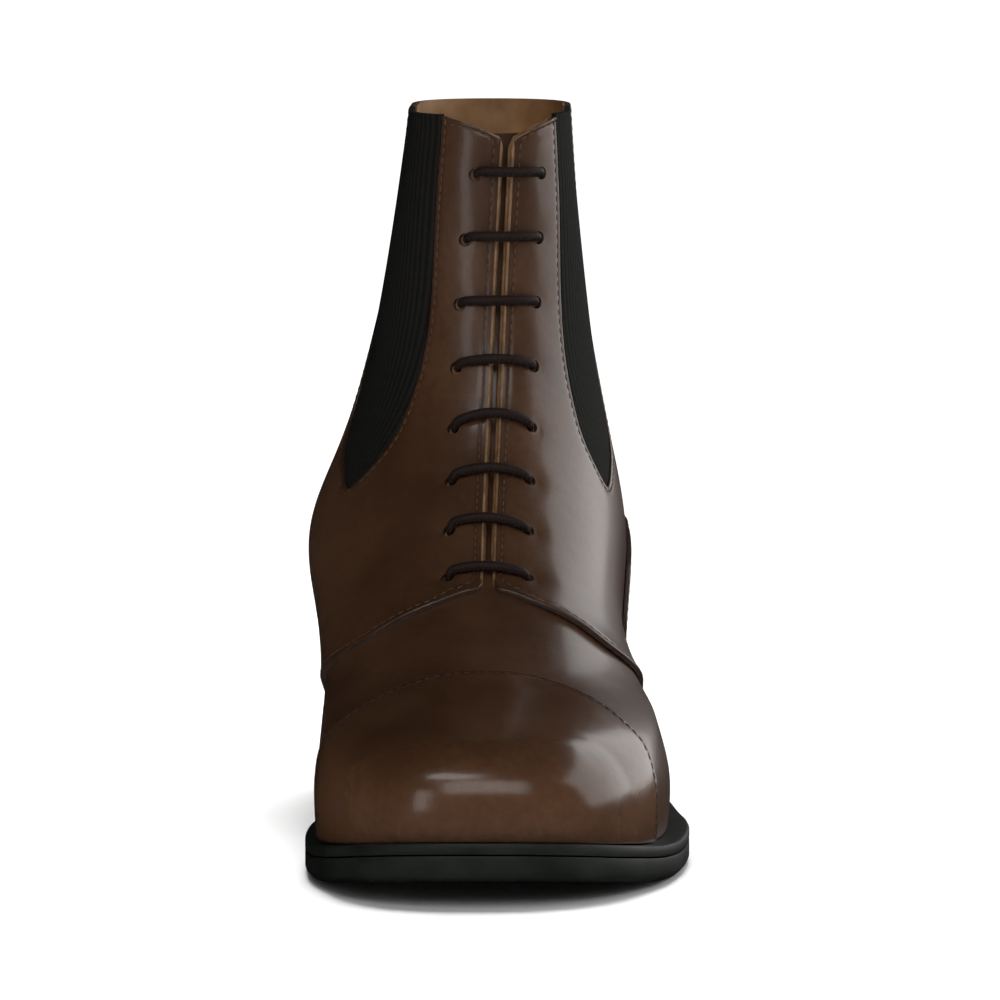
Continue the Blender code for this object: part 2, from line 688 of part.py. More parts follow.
def lace_place(ring, share):
    """Distance round the front of a place on a lace bar, from -1 to 1 between its holes."""
    up = (ring - FIRST_BAR_RING) / (LAST_BAR_RING - FIRST_BAR_RING)
    spread = LACE_SPREAD * (1.0 - TOP_BAR_NARROWING * up ** 6)
    return slit_x(ring) + TOP_BAR_SHIFT * LACE_SPREAD * up ** 8 + share * spread


def hole_place(ring, side):
    """Centre and outward way of a lace hole on the quarters' face."""
    return across(ring, lace_place(ring, side), LAYER)


def lace_hole_cutter():
    bm = bmesh.new()
    for ring in bar_rings():
        for side in (-1, 1):
            centre, way = hole_place(ring, side)
            turn = way.to_track_quat('Z', 'Y').to_matrix().to_4x4()
            bmesh.ops.create_cone(
                bm, cap_ends=True, segments=8, radius1=LACE_HOLE / 2.0,
                radius2=LACE_HOLE / 2.0, depth=4.0 * QUARTER_WALL,
                matrix=Matrix.Translation(centre - way * QUARTER_WALL) @ turn)
    return add_object("lace_hole_cutter", bm)


# Overlays and gores

def make_toe_cap():
    """Cap leather laid over the vamp, cut across the toes with a forward bow."""
    cap = shell("toe_cap", GAP + LAYER, GAP, "brown_leather")
    along = LENGTH * (1.0 - CAP_SEAM)
    low = sole_top(along)
    drop = 0.72 * INSTEP_HEIGHT + TOE_SPRING - low + SOLE_STACK
    behind = []
    for ahead in ([row.inner for row in CAP_EDGE], [row.outer for row in CAP_EDGE]):
        seam = smooth_outline([(along + a * LENGTH, low + row.up * drop)
                               for a, row in zip(ahead, CAP_EDGE)], 3)
        behind.append(closed_block(seam + [(seam[-1][0], LOW)], -LENGTH))
    boolean(cap, turned_prism("cut_behind_cap", *behind), 'DIFFERENCE')
    return cap


def make_heel_counter():
    """Counter leather laid round the heel over the quarters."""
    counter = shell("heel_counter", 2.0 * LAYER + GAP, LAYER + GAP, "brown_leather")
    base = sole_top(0.0)
    edge = [(along * LENGTH, base + up * UPPER_HEIGHT) for along, up in COUNTER_EDGE]
    ahead = smooth_outline(edge, 3) + [(-0.5 * LENGTH, edge[-1][1]), (-0.5 * LENGTH, HIGH),
                                       (2.0 * LENGTH, HIGH), (2.0 * LENGTH, edge[0][1])]
    boolean(counter, prism("cut_ahead_of_counter", ahead, -WIDE, WIDE), 'DIFFERENCE')
    return counter


def make_gores():
    """Elastic let into the two sides of the shaft."""
    for name, side, low, high in (("gore_inner", -1, -WIDE, 0.0), ("gore_outer", 1, 0.0, WIDE)):
        face = LAYER - GORE_SINK
        gore = shell(name, face, face - GORE_THICKNESS, "elastic")
        window = prism(name + "_cut", gore_outline(side, GAP), low, high)
        boolean(gore, window, 'INTERSECT')


def make_tongue():
    """Tongue lying inside the facings, from under the vamp to just below the notch."""
    face = -(VAMP_WALL + 2.0 * GAP)
    rows = []
    columns = 8
    first = THROAT_RING - 0.45
    last = LAST_RING - TONGUE_DROP / (0.149 * UPPER_HEIGHT)
    rings = [first + i * (last - first) / 11.0 for i in range(12)]
    for ring in rings:
        share = (ring - rings[0]) / (rings[-1] - rings[0])
        half = 0.5 * TONGUE_WIDTH * (0.62 + 0.38 * share)
        rows.append([across(ring, half * (2.0 * c / columns - 1.0), 0.0)
                     for c in range(columns + 1)])
    outside = [[p + n * face for p, n in row] for row in rows]
    inside = [[p + n * (face - TONGUE_THICKNESS) for p, n in row] for row in rows]
    loops = []
    for out_row, in_row in zip(outside, inside):
        loops.append(out_row + in_row[::-1])
    bm = bmesh.new()
    add_loops(bm, loops)
    bmesh.ops.recalc_face_normals(bm, faces=bm.faces)
    return add_object("tongue", bm, "brown_leather")


# Sole

feather = full_ring(0.0, SOLE_AROUND)
margin_places = [m.along * LENGTH for m in MARGINS]
edge_outer = even_spline(margin_places, [m.outer * SOLE_MARGIN for m in MARGINS])
edge_inner = even_spline(margin_places, [m.inner * SOLE_MARGIN for m in MARGINS])


def outline(offset, margins=False):
    """Plan outline of the feather line moved outwards, or of the sole's edge."""
    points = []
    for k, point in enumerate(feather):
        way = feather[(k + 1) % len(feather)] - feather[k - 1]
        way = Vector((way.y, -way.x)).normalized()
        extra = 0.0
        if margins:
            along = HEEL_CENTRE - point.y
            lean = 0.5 + 0.5 * max(min(point.x / (0.25 * HALF_BALL), 1.0), -1.0)
            extra = lean * edge_outer(along) + (1.0 - lean) * edge_inner(along)
        points.append((point.x + way.x * (offset + extra), point.y + way.y * (offset + extra)))
    return points


def level(points, height, lift=0.0):
    """A plan outline lifted to a height that may vary along the foot."""
    return [Vector((x, y, height(HEEL_CENTRE - y) + lift)) for x, y in points]


def make_outsole():
    """Rubber outsole with its toe spring, arch and a raised bed inside the welt."""
    edge = outline(0.0, margins=True)
    drawn = outline(-SOLE_BEVEL, margins=True)
    bed = outline(-WELT_BED - GAP)
    under = [level(outline(-share * HALF_BALL, margins=True), tread_height)
             for share in (0.55, 0.25)]
    loops = under + [
        level(drawn, tread_height),
        level(edge, tread_height, SOLE_BEVEL),
        level(edge, outsole_top, -GAP),
        level(bed, outsole_top, -GAP),
        level(bed, sole_top),
    ]
    bm = bmesh.new()
    rows = add_loops(bm, loops, closed_ends=False)
    close_plate(bm, rows[0], up=False)
    close_plate(bm, rows[-1], up=True)
    bmesh.ops.recalc_face_normals(bm, faces=bm.faces)
    return add_object("outsole", bm, "sole_rubber")


def close_plate(bm, row, up):
    """Close a long outline with strips across the foot, so that the plate keeps its bend."""
    count = len(row)
    for k in range(count // 2):
        left = row[k], row[(k + 1) % count]
        right = row[(count - k) % count], row[(count - k - 1) % count]
        corners = [left[0], left[1], right[1], right[0]]
        corners = [v for i, v in enumerate(corners) if v not in corners[:i]]
        if len(corners) > 2:
            bm.faces.new(corners if up else corners[::-1])


def make_welt():
    """Strip round the sole that the upper stands on."""
    edge = outline(0.0, margins=True)
    inner = outline(-WELT_BED)
    loops = [level(inner, outsole_top), level(edge, outsole_top),
             level(edge, sole_top), level(inner, sole_top)]
    bm = bmesh.new()
    add_loops(bm, loops, joined_ends=True)
    bmesh.ops.recalc_face_normals(bm, faces=bm.faces)
    return add_object("welt", bm, "sole_rubber")


def make_insole():
    """Footbed inside the upper, on the welt and the outsole's bed."""
    edge = outline(-(VAMP_WALL + 4.0 * GAP))
    loops = [level(edge, sole_top, GAP), level(edge, sole_top, GAP + INSOLE_THICKNESS)]
    bm = bmesh.new()
    rows = add_loops(bm, loops, closed_ends=False)
    close_plate(bm, rows[0], up=False)
    close_plate(bm, rows[-1], up=True)
    bmesh.ops.recalc_face_normals(bm, faces=bm.faces)
    return add_object("insole", bm, "lining_leather")


def make_heel():
    """Heel block under the heel seat, drawn in a little at the floor, with a flat breast."""
    top_edge = outline(-GAP, margins=True)
    foot_edge = outline(-HEEL_TAPER, margins=True)
    foot = [Vector((x, y, 0.0)) for x, y in foot_edge]
    loops = [foot, level(top_edge, tread_height, -GAP)]
    bm = bmesh.new()
    rows = add_loops(bm, loops, closed_ends=False)
    close_plate(bm, rows[0], up=False)
    close_plate(bm, rows[-1], up=True)
    cut = bmesh.ops.bisect_plane(
        bm, geom=bm.verts[:] + bm.edges[:] + bm.faces[:], dist=1e-7,
        plane_co=(0.0, y_at(HEEL_BREAST), 0.0), plane_no=(0.0, -1.0, BREAST_LEAN), clear_outer=True)
    rim = [item for item in cut["geom_cut"] if isinstance(item, bmesh.types.BMEdge)]
    bmesh.ops.edgenet_fill(bm, edges=rim)
    bmesh.ops.recalc_face_normals(bm, faces=bm.faces)
    return add_object("heel", bm, "sole_rubber")


# Lace

def make_lace_bar(number, ring):
    """One bar of the lace, out of a hole, over the slit and into the hole across."""
    start, start_way = hole_place(ring, -1)
    end, end_way = hole_place(ring, +1)
    radius = LACE_DIAMETER / 2.0
    lift = radius + 2.0 * GAP
    turn = 0.8 * LACE_DIAMETER
    points = []
    for height in (-0.9 * radius, 0.2 * radius):
        points.append(start + start_way * height)
    count = 6
    for i in range(count + 1):
        share = i / count
        inset = turn / (start - end).length
        place = inset * 0.45 + share * (1.0 - 0.9 * inset)
        over = across(ring, lace_place(ring, 2.0 * place - 1.0), LAYER)
        rise = lift + 0.25 * radius * math.sin(math.pi * share)
        points.append(over[0] + over[1] * rise)
    for height in (0.2 * radius, -0.9 * radius):
        points.append(end + end_way * height)
    data = bpy.data.curves.new(f"lace_bar_{number}", 'CURVE')
    data.dimensions = '3D'
    data.bevel_depth = radius
    data.bevel_resolution = 2
    data.use_fill_caps = True
    line = data.splines.new('POLY')
    curves = [natural_spline(range(len(points)), [p[axis] for p in points]) for axis in range(3)]
    samples = 8
    line.points.add(samples)
    for i in range(samples + 1):
        place = (len(points) - 1) * i / samples
        line.points[i].co = (*[curve(place) for curve in curves], 1.0)
    made = bpy.data.objects.new(f"lace_bar_{number}", data)
    data.materials.append(material("lace_cord"))
    bpy.context.scene.collection.objects.link(made)
    return made


def build_boot():
    for old in list(bpy.data.objects):
        bpy.data.objects.remove(old, do_unlink=True)
    make_outsole()
    make_welt()
    make_heel()
    make_insole()
    make_upper()
    make_toe_cap()
    make_heel_counter()
    make_gores()
    make_tongue()
    for number, ring in enumerate(bar_rings(), start=1):
        make_lace_bar(number, ring)


build_boot()
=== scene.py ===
"""Left paddock boot: dark brown leather, laced front, elastic side gores, rubber sole.

Metres. The toe is along -Y, the outer side of the foot along +X and up along +Z. The
origin is the middle of the heel's tread, on the floor. Leathers are cut on one surface,
whose places are (k, ring): k steps round the boot from the front line by the outer side,
ring rows up from the feather line to the collar.
"""
import math
from collections import namedtuple

import bmesh
import bpy
import numpy as np
from mathutils import Matrix, Vector


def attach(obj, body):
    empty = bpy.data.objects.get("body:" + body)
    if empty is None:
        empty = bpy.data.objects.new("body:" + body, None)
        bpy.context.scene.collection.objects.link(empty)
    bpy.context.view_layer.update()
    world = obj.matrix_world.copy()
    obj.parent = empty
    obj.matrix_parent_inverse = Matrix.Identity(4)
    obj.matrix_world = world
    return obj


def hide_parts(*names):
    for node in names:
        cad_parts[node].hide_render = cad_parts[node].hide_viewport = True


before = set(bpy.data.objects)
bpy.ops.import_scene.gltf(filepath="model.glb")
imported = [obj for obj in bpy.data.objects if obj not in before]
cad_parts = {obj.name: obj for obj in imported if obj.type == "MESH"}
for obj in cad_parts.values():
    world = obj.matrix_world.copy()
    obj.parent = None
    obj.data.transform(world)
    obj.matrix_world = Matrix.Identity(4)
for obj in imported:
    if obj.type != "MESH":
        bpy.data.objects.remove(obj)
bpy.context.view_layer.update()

# Sizes of the boot
LENGTH = 0.2690
HALF_BALL = 0.0930 / 2.0
HALF_HEEL = 0.0670 / 2.0
UPPER_HEIGHT = 0.1685
TOE_HEIGHT = 0.0250
INSTEP_HEIGHT = 0.0545
TOE_SWING = 0.0030
TOE_SPRING = 0.0080
HEEL_HEIGHT = 0.0185
HEEL_BREAST = 0.0680
OUTSOLE_THICKNESS = 0.0065
WELT_THICKNESS = 0.0030
INSOLE_THICKNESS = 0.0030
VAMP_WALL = 0.0022
QUARTER_WALL = 0.0024
LAYER = 0.0012
HALF_ANKLE = 0.0870 / 2.0 - LAYER
HALF_COLLAR = 0.0462 / 2.0 - LAYER
QUARTER_LAP = 0.0100
CAP_SEAM = 0.229
GORE_STEP = 0.0033
GORE_SINK = 0.0005
GORE_THICKNESS = 0.0014
TONGUE_THICKNESS = 0.0018
TONGUE_WIDTH = 0.0500
TONGUE_DROP = 0.0050
TONGUE_TUCK = 0.45         # rings that its foot lies below the throat
SLIT_WIDTH = 0.0024
NOTCH_WIDTH = 0.0360
SLIT_LEAN = 0.0052
FACING_CORNER = 0.0040     # radius of the facings' corners
LACE_BARS = 8
LACE_DIAMETER = 0.0029
LACE_SPREAD = 0.0110
TOP_BAR_NARROWING = 0.15
TOP_BAR_SHIFT = 0.12
LACE_HOLE = 0.0036
SOLE_MARGIN = 0.0058
GAP = 0.0003
SEAT = 0.0006
WELT_BED = 0.0062
SOLE_BEVEL = 0.0018
BREAST_LEAN = 0.12
HEEL_CENTRE = HEEL_BREAST / 2.0
SHAFT_BASE = HEEL_HEIGHT - TOE_SPRING

# Fineness of the surface that the leathers are cut on
AROUND = 18                # steps of k from the front line to the back line
END_CROWDING = 0.40
COLUMNS_PER_STEP = 8
ROWS_PER_RING = 20
DENSE = 180

THROAT_RING = 7.8
FIRST_BAR_RING = 8.0
LAST_BAR_RING = 13.35
NOTCH_RING = 13.72
RING_STEP = 0.0235         # height of one ring up the front
SIDE_BLEND = 0.004         # round the front, where a line changes from side to side


def even_curve(rows):
    """A curve through (place, value) rows that never swings past them."""
    xs, ys = (np.array(column, float) for column in zip(*rows))
    steps = np.diff(xs)
    slopes = np.diff(ys) / steps
    before, after = slopes[:-1], slopes[1:]
    total = np.where(before * after > 0.0, before + after, 1.0)
    inside = np.where(before * after > 0.0, 2.0 * before * after / total, 0.0)
    tangents = np.concatenate([slopes[:1], inside, slopes[-1:]])

    def value(x):
        held = np.clip(x, xs[0], xs[-1])
        i = np.clip(np.searchsorted(xs, held, side="right") - 1, 0, len(steps) - 1)
        u = (held - xs[i]) / steps[i]
        start = (1.0 + 2.0 * u) * (1.0 - u) ** 2 * ys[i]
        start = start + u * (1.0 - u) ** 2 * steps[i] * tangents[i]
        end = u * u * (3.0 - 2.0 * u) * ys[i + 1]
        return start + end + u * u * (u - 1.0) * steps[i] * tangents[i + 1]

    return value


def natural_curve(places):
    """Natural spline over fixed places: value(x, heights at the places)."""
    xs = np.array(places, float)
    count = len(xs)
    steps = np.diff(xs)
    system = np.eye(count)
    right = np.zeros((count, count))
    for i in range(1, count - 1):
        a, b = steps[i - 1], steps[i]
        system[i, i - 1:i + 2] = a, 2.0 * (a + b), b
        right[i, i - 1:i + 2] = 6.0 / a, -6.0 / a - 6.0 / b, 6.0 / b
    bends = np.linalg.solve(system, right)

    def value(x, heights):
        x = np.asarray(x, float)
        table = np.broadcast_to(np.asarray(heights, float), x.shape + (count,))
        bend = table @ bends.T
        held = np.clip(x, xs[0], xs[-1])
        i = np.clip(np.searchsorted(xs, held) - 1, 0, count - 2)
        a = (xs[i + 1] - held) / steps[i]
        b = 1.0 - a
        y0, m0 = (np.take_along_axis(t, i[..., None], -1)[..., 0] for t in (table, bend))
        y1, m1 = (np.take_along_axis(t, i[..., None] + 1, -1)[..., 0] for t in (table, bend))
        swing = (a ** 3 - a) * m0 + (b ** 3 - b) * m1
        return a * y0 + b * y1 + swing * steps[i] ** 2 / 6.0

    return value


# Tread line: share of LENGTH from the heel, height over the floor
tread_height = even_curve([(share * LENGTH, height) for share, height in (
    (-0.02, 1.02 * HEEL_HEIGHT), (0.12, HEEL_HEIGHT), (0.26, 0.95 * HEEL_HEIGHT),
    (0.40, 0.62 * HEEL_HEIGHT), (0.54, 0.14 * HEEL_HEIGHT), (0.62, 0.0), (0.76, 0.0),
    (0.85, 0.14 * TOE_SPRING), (0.93, 0.48 * TOE_SPRING), (1.02, TOE_SPRING))])

# Sole's edge beyond the feather line: share of LENGTH from the heel, then the outer and the
# inner side as shares of SOLE_MARGIN
MARGINS = (
    (0.00, 0.28, 0.28), (0.22, 0.31, 0.31), (0.42, 0.55, 0.38),
    (0.68, 1.00, 0.66), (0.90, 0.90, 0.76), (1.00, 0.76, 0.76),
)
edge_outer = even_curve([(row[0] * LENGTH, row[1] * SOLE_MARGIN) for row in MARGINS])
edge_inner = even_curve([(row[0] * LENGTH, row[2] * SOLE_MARGIN) for row in MARGINS])

# Side view of the upper: front's place behind the toe tip, front's height, back's place
# inside the heel point, back's height, dip, and how the ring turns in at its two ends
Ring = namedtuple("Ring", "toe_back front_up heel_in back_up dip "
                          "front_round front_power back_round")
IN, UP = INSTEP_HEIGHT, UPPER_HEIGHT
RINGS = (
    Ring(0.002, 0.0, 0.010, 0.0, 0.000, 0.205, 2.50, 0.125),
    Ring(0.000, 0.28 * TOE_HEIGHT, 0.003, 0.055 * UP, 0.000, 0.210, 2.50, 0.130),
    Ring(0.006, 0.58 * TOE_HEIGHT, 0.000, 0.110 * UP, 0.004, 0.215, 2.45, 0.135),
    Ring(0.030, 0.83 * TOE_HEIGHT, 0.002, 0.165 * UP, 0.020, 0.225, 2.30, 0.140),
    Ring(0.078, 1.00 * TOE_HEIGHT, 0.005, 0.225 * UP, 0.045, 0.250, 2.15, 0.145),
    Ring(0.150, 0.540 * IN, 0.009, 0.285 * UP, 0.060, 0.290, 2.05, 0.150),
    Ring(0.226, 0.635 * IN, 0.014, 0.345 * UP, 0.066, 0.310, 2.00, 0.150),
    Ring(0.306, 0.790 * IN, 0.020, 0.410 * UP, 0.064, 0.315, 2.00, 0.150),
    Ring(0.394, 1.000 * IN, 0.026, 0.475 * UP, 0.052, 0.305, 2.00, 0.150),
    Ring(0.466, SHAFT_BASE + 0.360 * UP, 0.030, 0.545 * UP, 0.036, 0.285, 2.00, 0.148),
    Ring(0.524, SHAFT_BASE + 0.455 * UP, 0.032, 0.620 * UP, 0.022, 0.250, 2.00, 0.142),
    Ring(0.562, SHAFT_BASE + 0.570 * UP, 0.032, 0.705 * UP, 0.012, 0.205, 2.05, 0.134),
    Ring(0.577, SHAFT_BASE + 0.705 * UP, 0.029, 0.800 * UP, 0.006, 0.160, 2.10, 0.126),
    Ring(0.582, SHAFT_BASE + 0.845 * UP, 0.024, 0.900 * UP, 0.002, 0.125, 2.15, 0.118),
    Ring(0.586, SHAFT_BASE + 0.994 * UP, 0.020, 1.000 * UP, 0.000, 0.108, 2.20, 0.110),
)
TOP = len(RINGS) - 1

# Half widths: share of UPPER_HEIGHT over the feather line, then shares of HALF_HEEL or
# HALF_COLLAR, HALF_ANKLE and HALF_BALL at five stations along the foot
STATIONS = (0.07, 0.27, 0.43, 0.68, 0.90)
HEIGHTS = (0.00, 0.08, 0.18, 0.31, 0.42, 0.58, 0.78, 1.00)
H, A, B, C = HALF_HEEL, HALF_ANKLE, HALF_BALL, HALF_COLLAR
OUTER_WIDTHS = (
    (0.93 * H, 0.92 * H, 0.80 * B, 1.03 * B, 0.89 * B),
    (1.00 * H, 1.02 * H, 0.81 * B, 1.04 * B, 0.89 * B),
    (1.01 * H, 0.86 * A, 0.84 * A, 0.95 * B, 0.81 * B),
    (0.97 * H, 0.87 * A, 0.84 * A, 0.87 * B, 0.76 * B),
    (0.88 * H, 0.80 * A, 0.82 * A, 0.79 * B, 0.70 * B),
    (1.06 * C, 1.33 * C, 1.36 * C, 1.34 * C, 1.30 * C),
    (0.99 * C, 1.13 * C, 1.14 * C, 1.14 * C, 1.14 * C),
    (0.98 * C, 0.98 * C, 0.98 * C, 0.98 * C, 0.98 * C),
)
INNER_WIDTHS = (
    (0.93 * H, 0.86 * H, 0.66 * B, 0.92 * B, 0.82 * B),
    (1.00 * H, 1.02 * H, 0.78 * B, 0.95 * B, 0.84 * B),
    (1.03 * H, 1.00 * A, 1.02 * A, 0.93 * B, 0.81 * B),
    (1.00 * H, 1.14 * A, 1.15 * A, 0.88 * B, 0.72 * B),
    (0.92 * H, 1.01 * A, 1.03 * A, 0.82 * B, 0.70 * B),
    (1.10 * C, 1.57 * C, 1.59 * C, 1.47 * C, 1.38 * C),
    (1.02 * C, 1.25 * C, 1.26 * C, 1.22 * C, 1.22 * C),
    (0.99 * C, 1.01 * C, 1.01 * C, 1.01 * C, 1.01 * C),
)

# Free edge of the quarters and cap seam in the side view: height, then place ahead on the
# outer and on the inner side; counter and gore: place from the heel, height
QUARTER_EDGE = (
    (0.60, -0.008, -0.008), (0.20, -0.007, -0.007), (0.02, -0.004, -0.004),
    (-0.05, 0.009, 0.009), (-0.15, 0.013, 0.012), (-0.24, 0.008, 0.000),
    (-0.33, -0.018, -0.030), (-0.46, -0.065, -0.075), (-0.65, -0.120, -0.125),
    (-0.88, -0.165, -0.170), (-1.20, -0.205, -0.210),
)
CAP_EDGE = (
    (1.60, -0.002, -0.002), (1.00, -0.002, -0.002), (0.84, 0.005, 0.004),
    (0.71, 0.023, 0.019), (0.58, 0.047, 0.033), (0.36, 0.062, 0.037),
    (0.08, 0.066, 0.032), (-0.40, 0.062, 0.010),
)
COUNTER_EDGE = (
    (0.327, -0.60), (0.319, 0.020), (0.309, 0.170), (0.282, 0.270), (0.225, 0.297),
    (0.130, 0.305), (-0.060, 0.325),
)
GORE_EDGES = (
    (0.386, 1.02), (0.387, 0.80), (0.391, 0.64), (0.398, 0.52), (0.404, 0.44), (0.388, 0.378),
    (0.350, 0.395), (0.300, 0.440), (0.262, 0.520), (0.232, 0.660), (0.212, 0.830),
    (0.205, 1.02),
)


# The surface

def sole_top(along):
    """Height of the welt's top face."""
    return tread_height(along) + OUTSOLE_THICKNESS + WELT_THICKNESS


def centre_x(along):
    """Middle of the upper in plan, which leans to the inner side at the toe."""
    share = np.clip((along / LENGTH - 0.60) / 0.40, 0.0, 1.0)
    return -TOE_SWING * share * share


def turn_in(distance, reach, power):
    """From 0 on the edge of a form to 1 where it has its full width."""
    left = 1.0 - np.clip(distance / reach, 0.0, 1.0)
    return (1.0 - left ** power) ** (1.0 / power)


width_up = natural_curve([share * UPPER_HEIGHT for share in HEIGHTS])
width_along = natural_curve([share * LENGTH for share in STATIONS])
ring_curve = natural_curve(range(len(RINGS)))


def half_width(table, along, up):
    held = np.clip(up, 0.0, UPPER_HEIGHT)
    columns = np.stack([width_up(held, column) for column in zip(*table)], axis=-1)
    return width_along(along, columns)


def ring_ends(rings):
    """Named columns of RINGS at whole or broken ring numbers."""
    return {name: ring_curve(rings, [getattr(row, name) for row in RINGS])
            for name in Ring._fields}


def front_line(ring):
    """Where a ring meets the front line, in the side view."""
    ends = ring_ends(np.array(float(ring)))
    return (float(LENGTH * (1.0 - ends["toe_back"])),
            float(sole_top(LENGTH) + SEAT + ends["front_up"]))


def ring_sides(rings, table, side):
    """Dense points of one side of each ring, from the front line to the back line."""
    ends = {name: column[:, None] for name, column in ring_ends(rings).items()}
    t = 0.5 * (1.0 + np.cos(math.pi * np.arange(DENSE + 1) / DENSE))[None, :]
    back = ends["heel_in"] * LENGTH, sole_top(0.0) + SEAT + ends["back_up"]
    front = LENGTH * (1.0 - ends["toe_back"]), sole_top(LENGTH) + SEAT + ends["front_up"]
    reach = np.hypot(front[0] - back[0], front[1] - back[1])
    along = back[0] + (front[0] - back[0]) * t
    height = back[1] + (front[1] - back[1]) * t
    foot = back[0][0] + (front[0][0] - back[0][0]) * t
    chord = back[1][0] + (front[1][0] - back[1][0]) * t
    fade = np.maximum(1.0 - rings[:, None] / TOP, 0.0) ** 2
    height = height + fade * (sole_top(foot) + SEAT - chord)
    height = height - ends["dip"] * UPPER_HEIGHT * np.sin(math.pi * t) ** 1.5
    width = half_width(table, along, height - sole_top(along) - SEAT)
    width = width * turn_in(reach * (1.0 - t), ends["front_round"] * LENGTH,
                            ends["front_power"])
    width = width * turn_in(reach * t, ends["back_round"] * LENGTH, 2.2)
    return np.stack([centre_x(along) + side * width, HEEL_CENTRE - along, height], axis=-1)


def surface_grid():
    """Points and outward ways of the surface, and the distance round from the front line."""
    rings = np.arange(TOP * ROWS_PER_RING + 1) / ROWS_PER_RING
    count = AROUND * COLUMNS_PER_STEP
    share = np.arange(count + 1) / count
    share = share - END_CROWDING * np.sin(2.0 * math.pi * share) / (2.0 * math.pi)
    halves = []
    rounds = []
    for table, side in ((OUTER_WIDTHS, 1), (INNER_WIDTHS, -1)):
        rows = []
        lengths = []
        for line in ring_sides(rings, table, side):
            run = np.concatenate([[0.0], np.cumsum(np.linalg.norm(np.diff(line, axis=0), axis=1))])
            placed = run[-1] * share
            rows.append(np.stack([np.interp(placed, run, line[:, axis]) for axis in range(3)], -1))
            lengths.append(side * placed)
        halves.append(np.array(rows))
        rounds.append(np.array(lengths))
    points = np.concatenate([halves[0], halves[1][:, -2:0:-1]], axis=1)
    distance = np.concatenate([rounds[1][:, :0:-1], rounds[0]], axis=1)
    round_way = np.roll(points, -1, axis=1) - np.roll(points, 1, axis=1)
    up_way = np.gradient(points, axis=0)
    ways = np.cross(round_way, up_way)
    level = np.minimum(rings, TOP - rings) / 0.5
    ways[..., 2] *= np.clip(level, 0.0, 1.0)[:, None]
    ways /= np.linalg.norm(ways, axis=-1, keepdims=True)
    return points, ways, distance


grid_points, grid_ways, grid_distance = surface_grid()


def blend_grid(grid, rows, columns, wrapped):
    """Value of a grid between its rows and columns."""
    low = np.clip(rows.astype(int), 0, grid.shape[0] - 2)
    left = np.floor(columns).astype(int)
    up = rows - low
    right = columns - left
    if grid.ndim == 3:
        up, right = up[..., None], right[..., None]
    if wrapped:
        a, b = left % grid.shape[1], (left + 1) % grid.shape[1]
    else:
        a = np.clip(left, 0, grid.shape[1] - 1)
        b = np.clip(left + 1, 0, grid.shape[1] - 1)
    bottom = grid[low, a] * (1.0 - right) + grid[low, b] * right
    top = grid[low + 1, a] * (1.0 - right) + grid[low + 1, b] * right
    return bottom * (1.0 - up) + top * up


def surface(k, ring):
    """Points and outward ways at places (k, ring)."""
    rows = np.clip(np.asarray(ring, float), 0.0, TOP) * ROWS_PER_RING
    columns = np.asarray(k, float) * COLUMNS_PER_STEP
    points = blend_grid(grid_points, rows, columns, True)
    ways = blend_grid(grid_ways, rows, columns, True)
    return points, ways / np.linalg.norm(ways, axis=-1, keepdims=True)


def round_distance(k, ring):
    """Signed distance round the ring from the front line, outer side positive."""
    rows = np.clip(np.asarray(ring, float), 0.0, TOP) * ROWS_PER_RING
    wrapped = np.mod(np.asarray(k, float) + AROUND, 2 * AROUND)
    return blend_grid(grid_distance, rows, wrapped * COLUMNS_PER_STEP, False)


def k_at(ring, distance):
    """The k at a signed distance round a ring from the front line."""
    row = min(max(ring, 0.0), TOP) * ROWS_PER_RING
    low = min(int(row), grid_distance.shape[0] - 2)
    line = grid_distance[low] * (1.0 - row + low) + grid_distance[low + 1] * (row - low)
    ks = np.arange(len(line)) / COLUMNS_PER_STEP - AROUND
    return np.interp(distance, line, ks)


def slit_x(ring):
    """The slit's distance round the front from the front line."""
    share = np.clip((np.asarray(ring) - THROAT_RING) / (TOP - THROAT_RING), 0.0, 1.0)
    return SLIT_LEAN * share ** 1.6


def slit_half(ring):
    """Half the gap between the facings, wider where the collar opens."""
    opened = np.clip((ring - NOTCH_RING) / (TOP - NOTCH_RING), 0.0, 1.0)
    return 0.5 * (SLIT_WIDTH + (NOTCH_WIDTH - SLIT_WIDTH) * opened ** 1.4)


def lace_place(ring, share):
    """Distance round the front of a place on a lace bar, from -1 to 1 between its holes."""
    up = (ring - FIRST_BAR_RING) / (LAST_BAR_RING - FIRST_BAR_RING)
    spread = LACE_SPREAD * (1.0 - TOP_BAR_NARROWING * up ** 6)
    return float(slit_x(ring)) + TOP_BAR_SHIFT * LACE_SPREAD * up ** 8 + share * spread


def bar_rings():
    """Rings that the lace bars lie at, evenly up the front."""
    marks = np.linspace(FIRST_BAR_RING, LAST_BAR_RING, 41)
    line = np.array([front_line(mark) for mark in marks])
    run = np.concatenate([[0.0], np.cumsum(np.hypot(*np.diff(line, axis=0).T))])
    return np.interp(np.linspace(0.0, run[-1], LACE_BARS), run, marks)


BAR_RINGS = bar_rings()


def hole_places():
    """(k, ring) and side of each lace hole."""
    places = []
    for ring in BAR_RINGS:
        for side in (-1, 1):
            places.append((float(k_at(ring, lace_place(ring, side))), float(ring), side))
    return places


HOLES = hole_places()


# Fields: distances over the leather, in metres, positive on the side that is kept

def smooth_outline(points, steps=4):
    """A curve through a few points, as an array of more."""
    through = natural_curve(range(len(points)))
    u = np.arange((len(points) - 1) * steps + 1) / steps
    return np.stack([through(u, column) for column in zip(*points)], axis=-1)


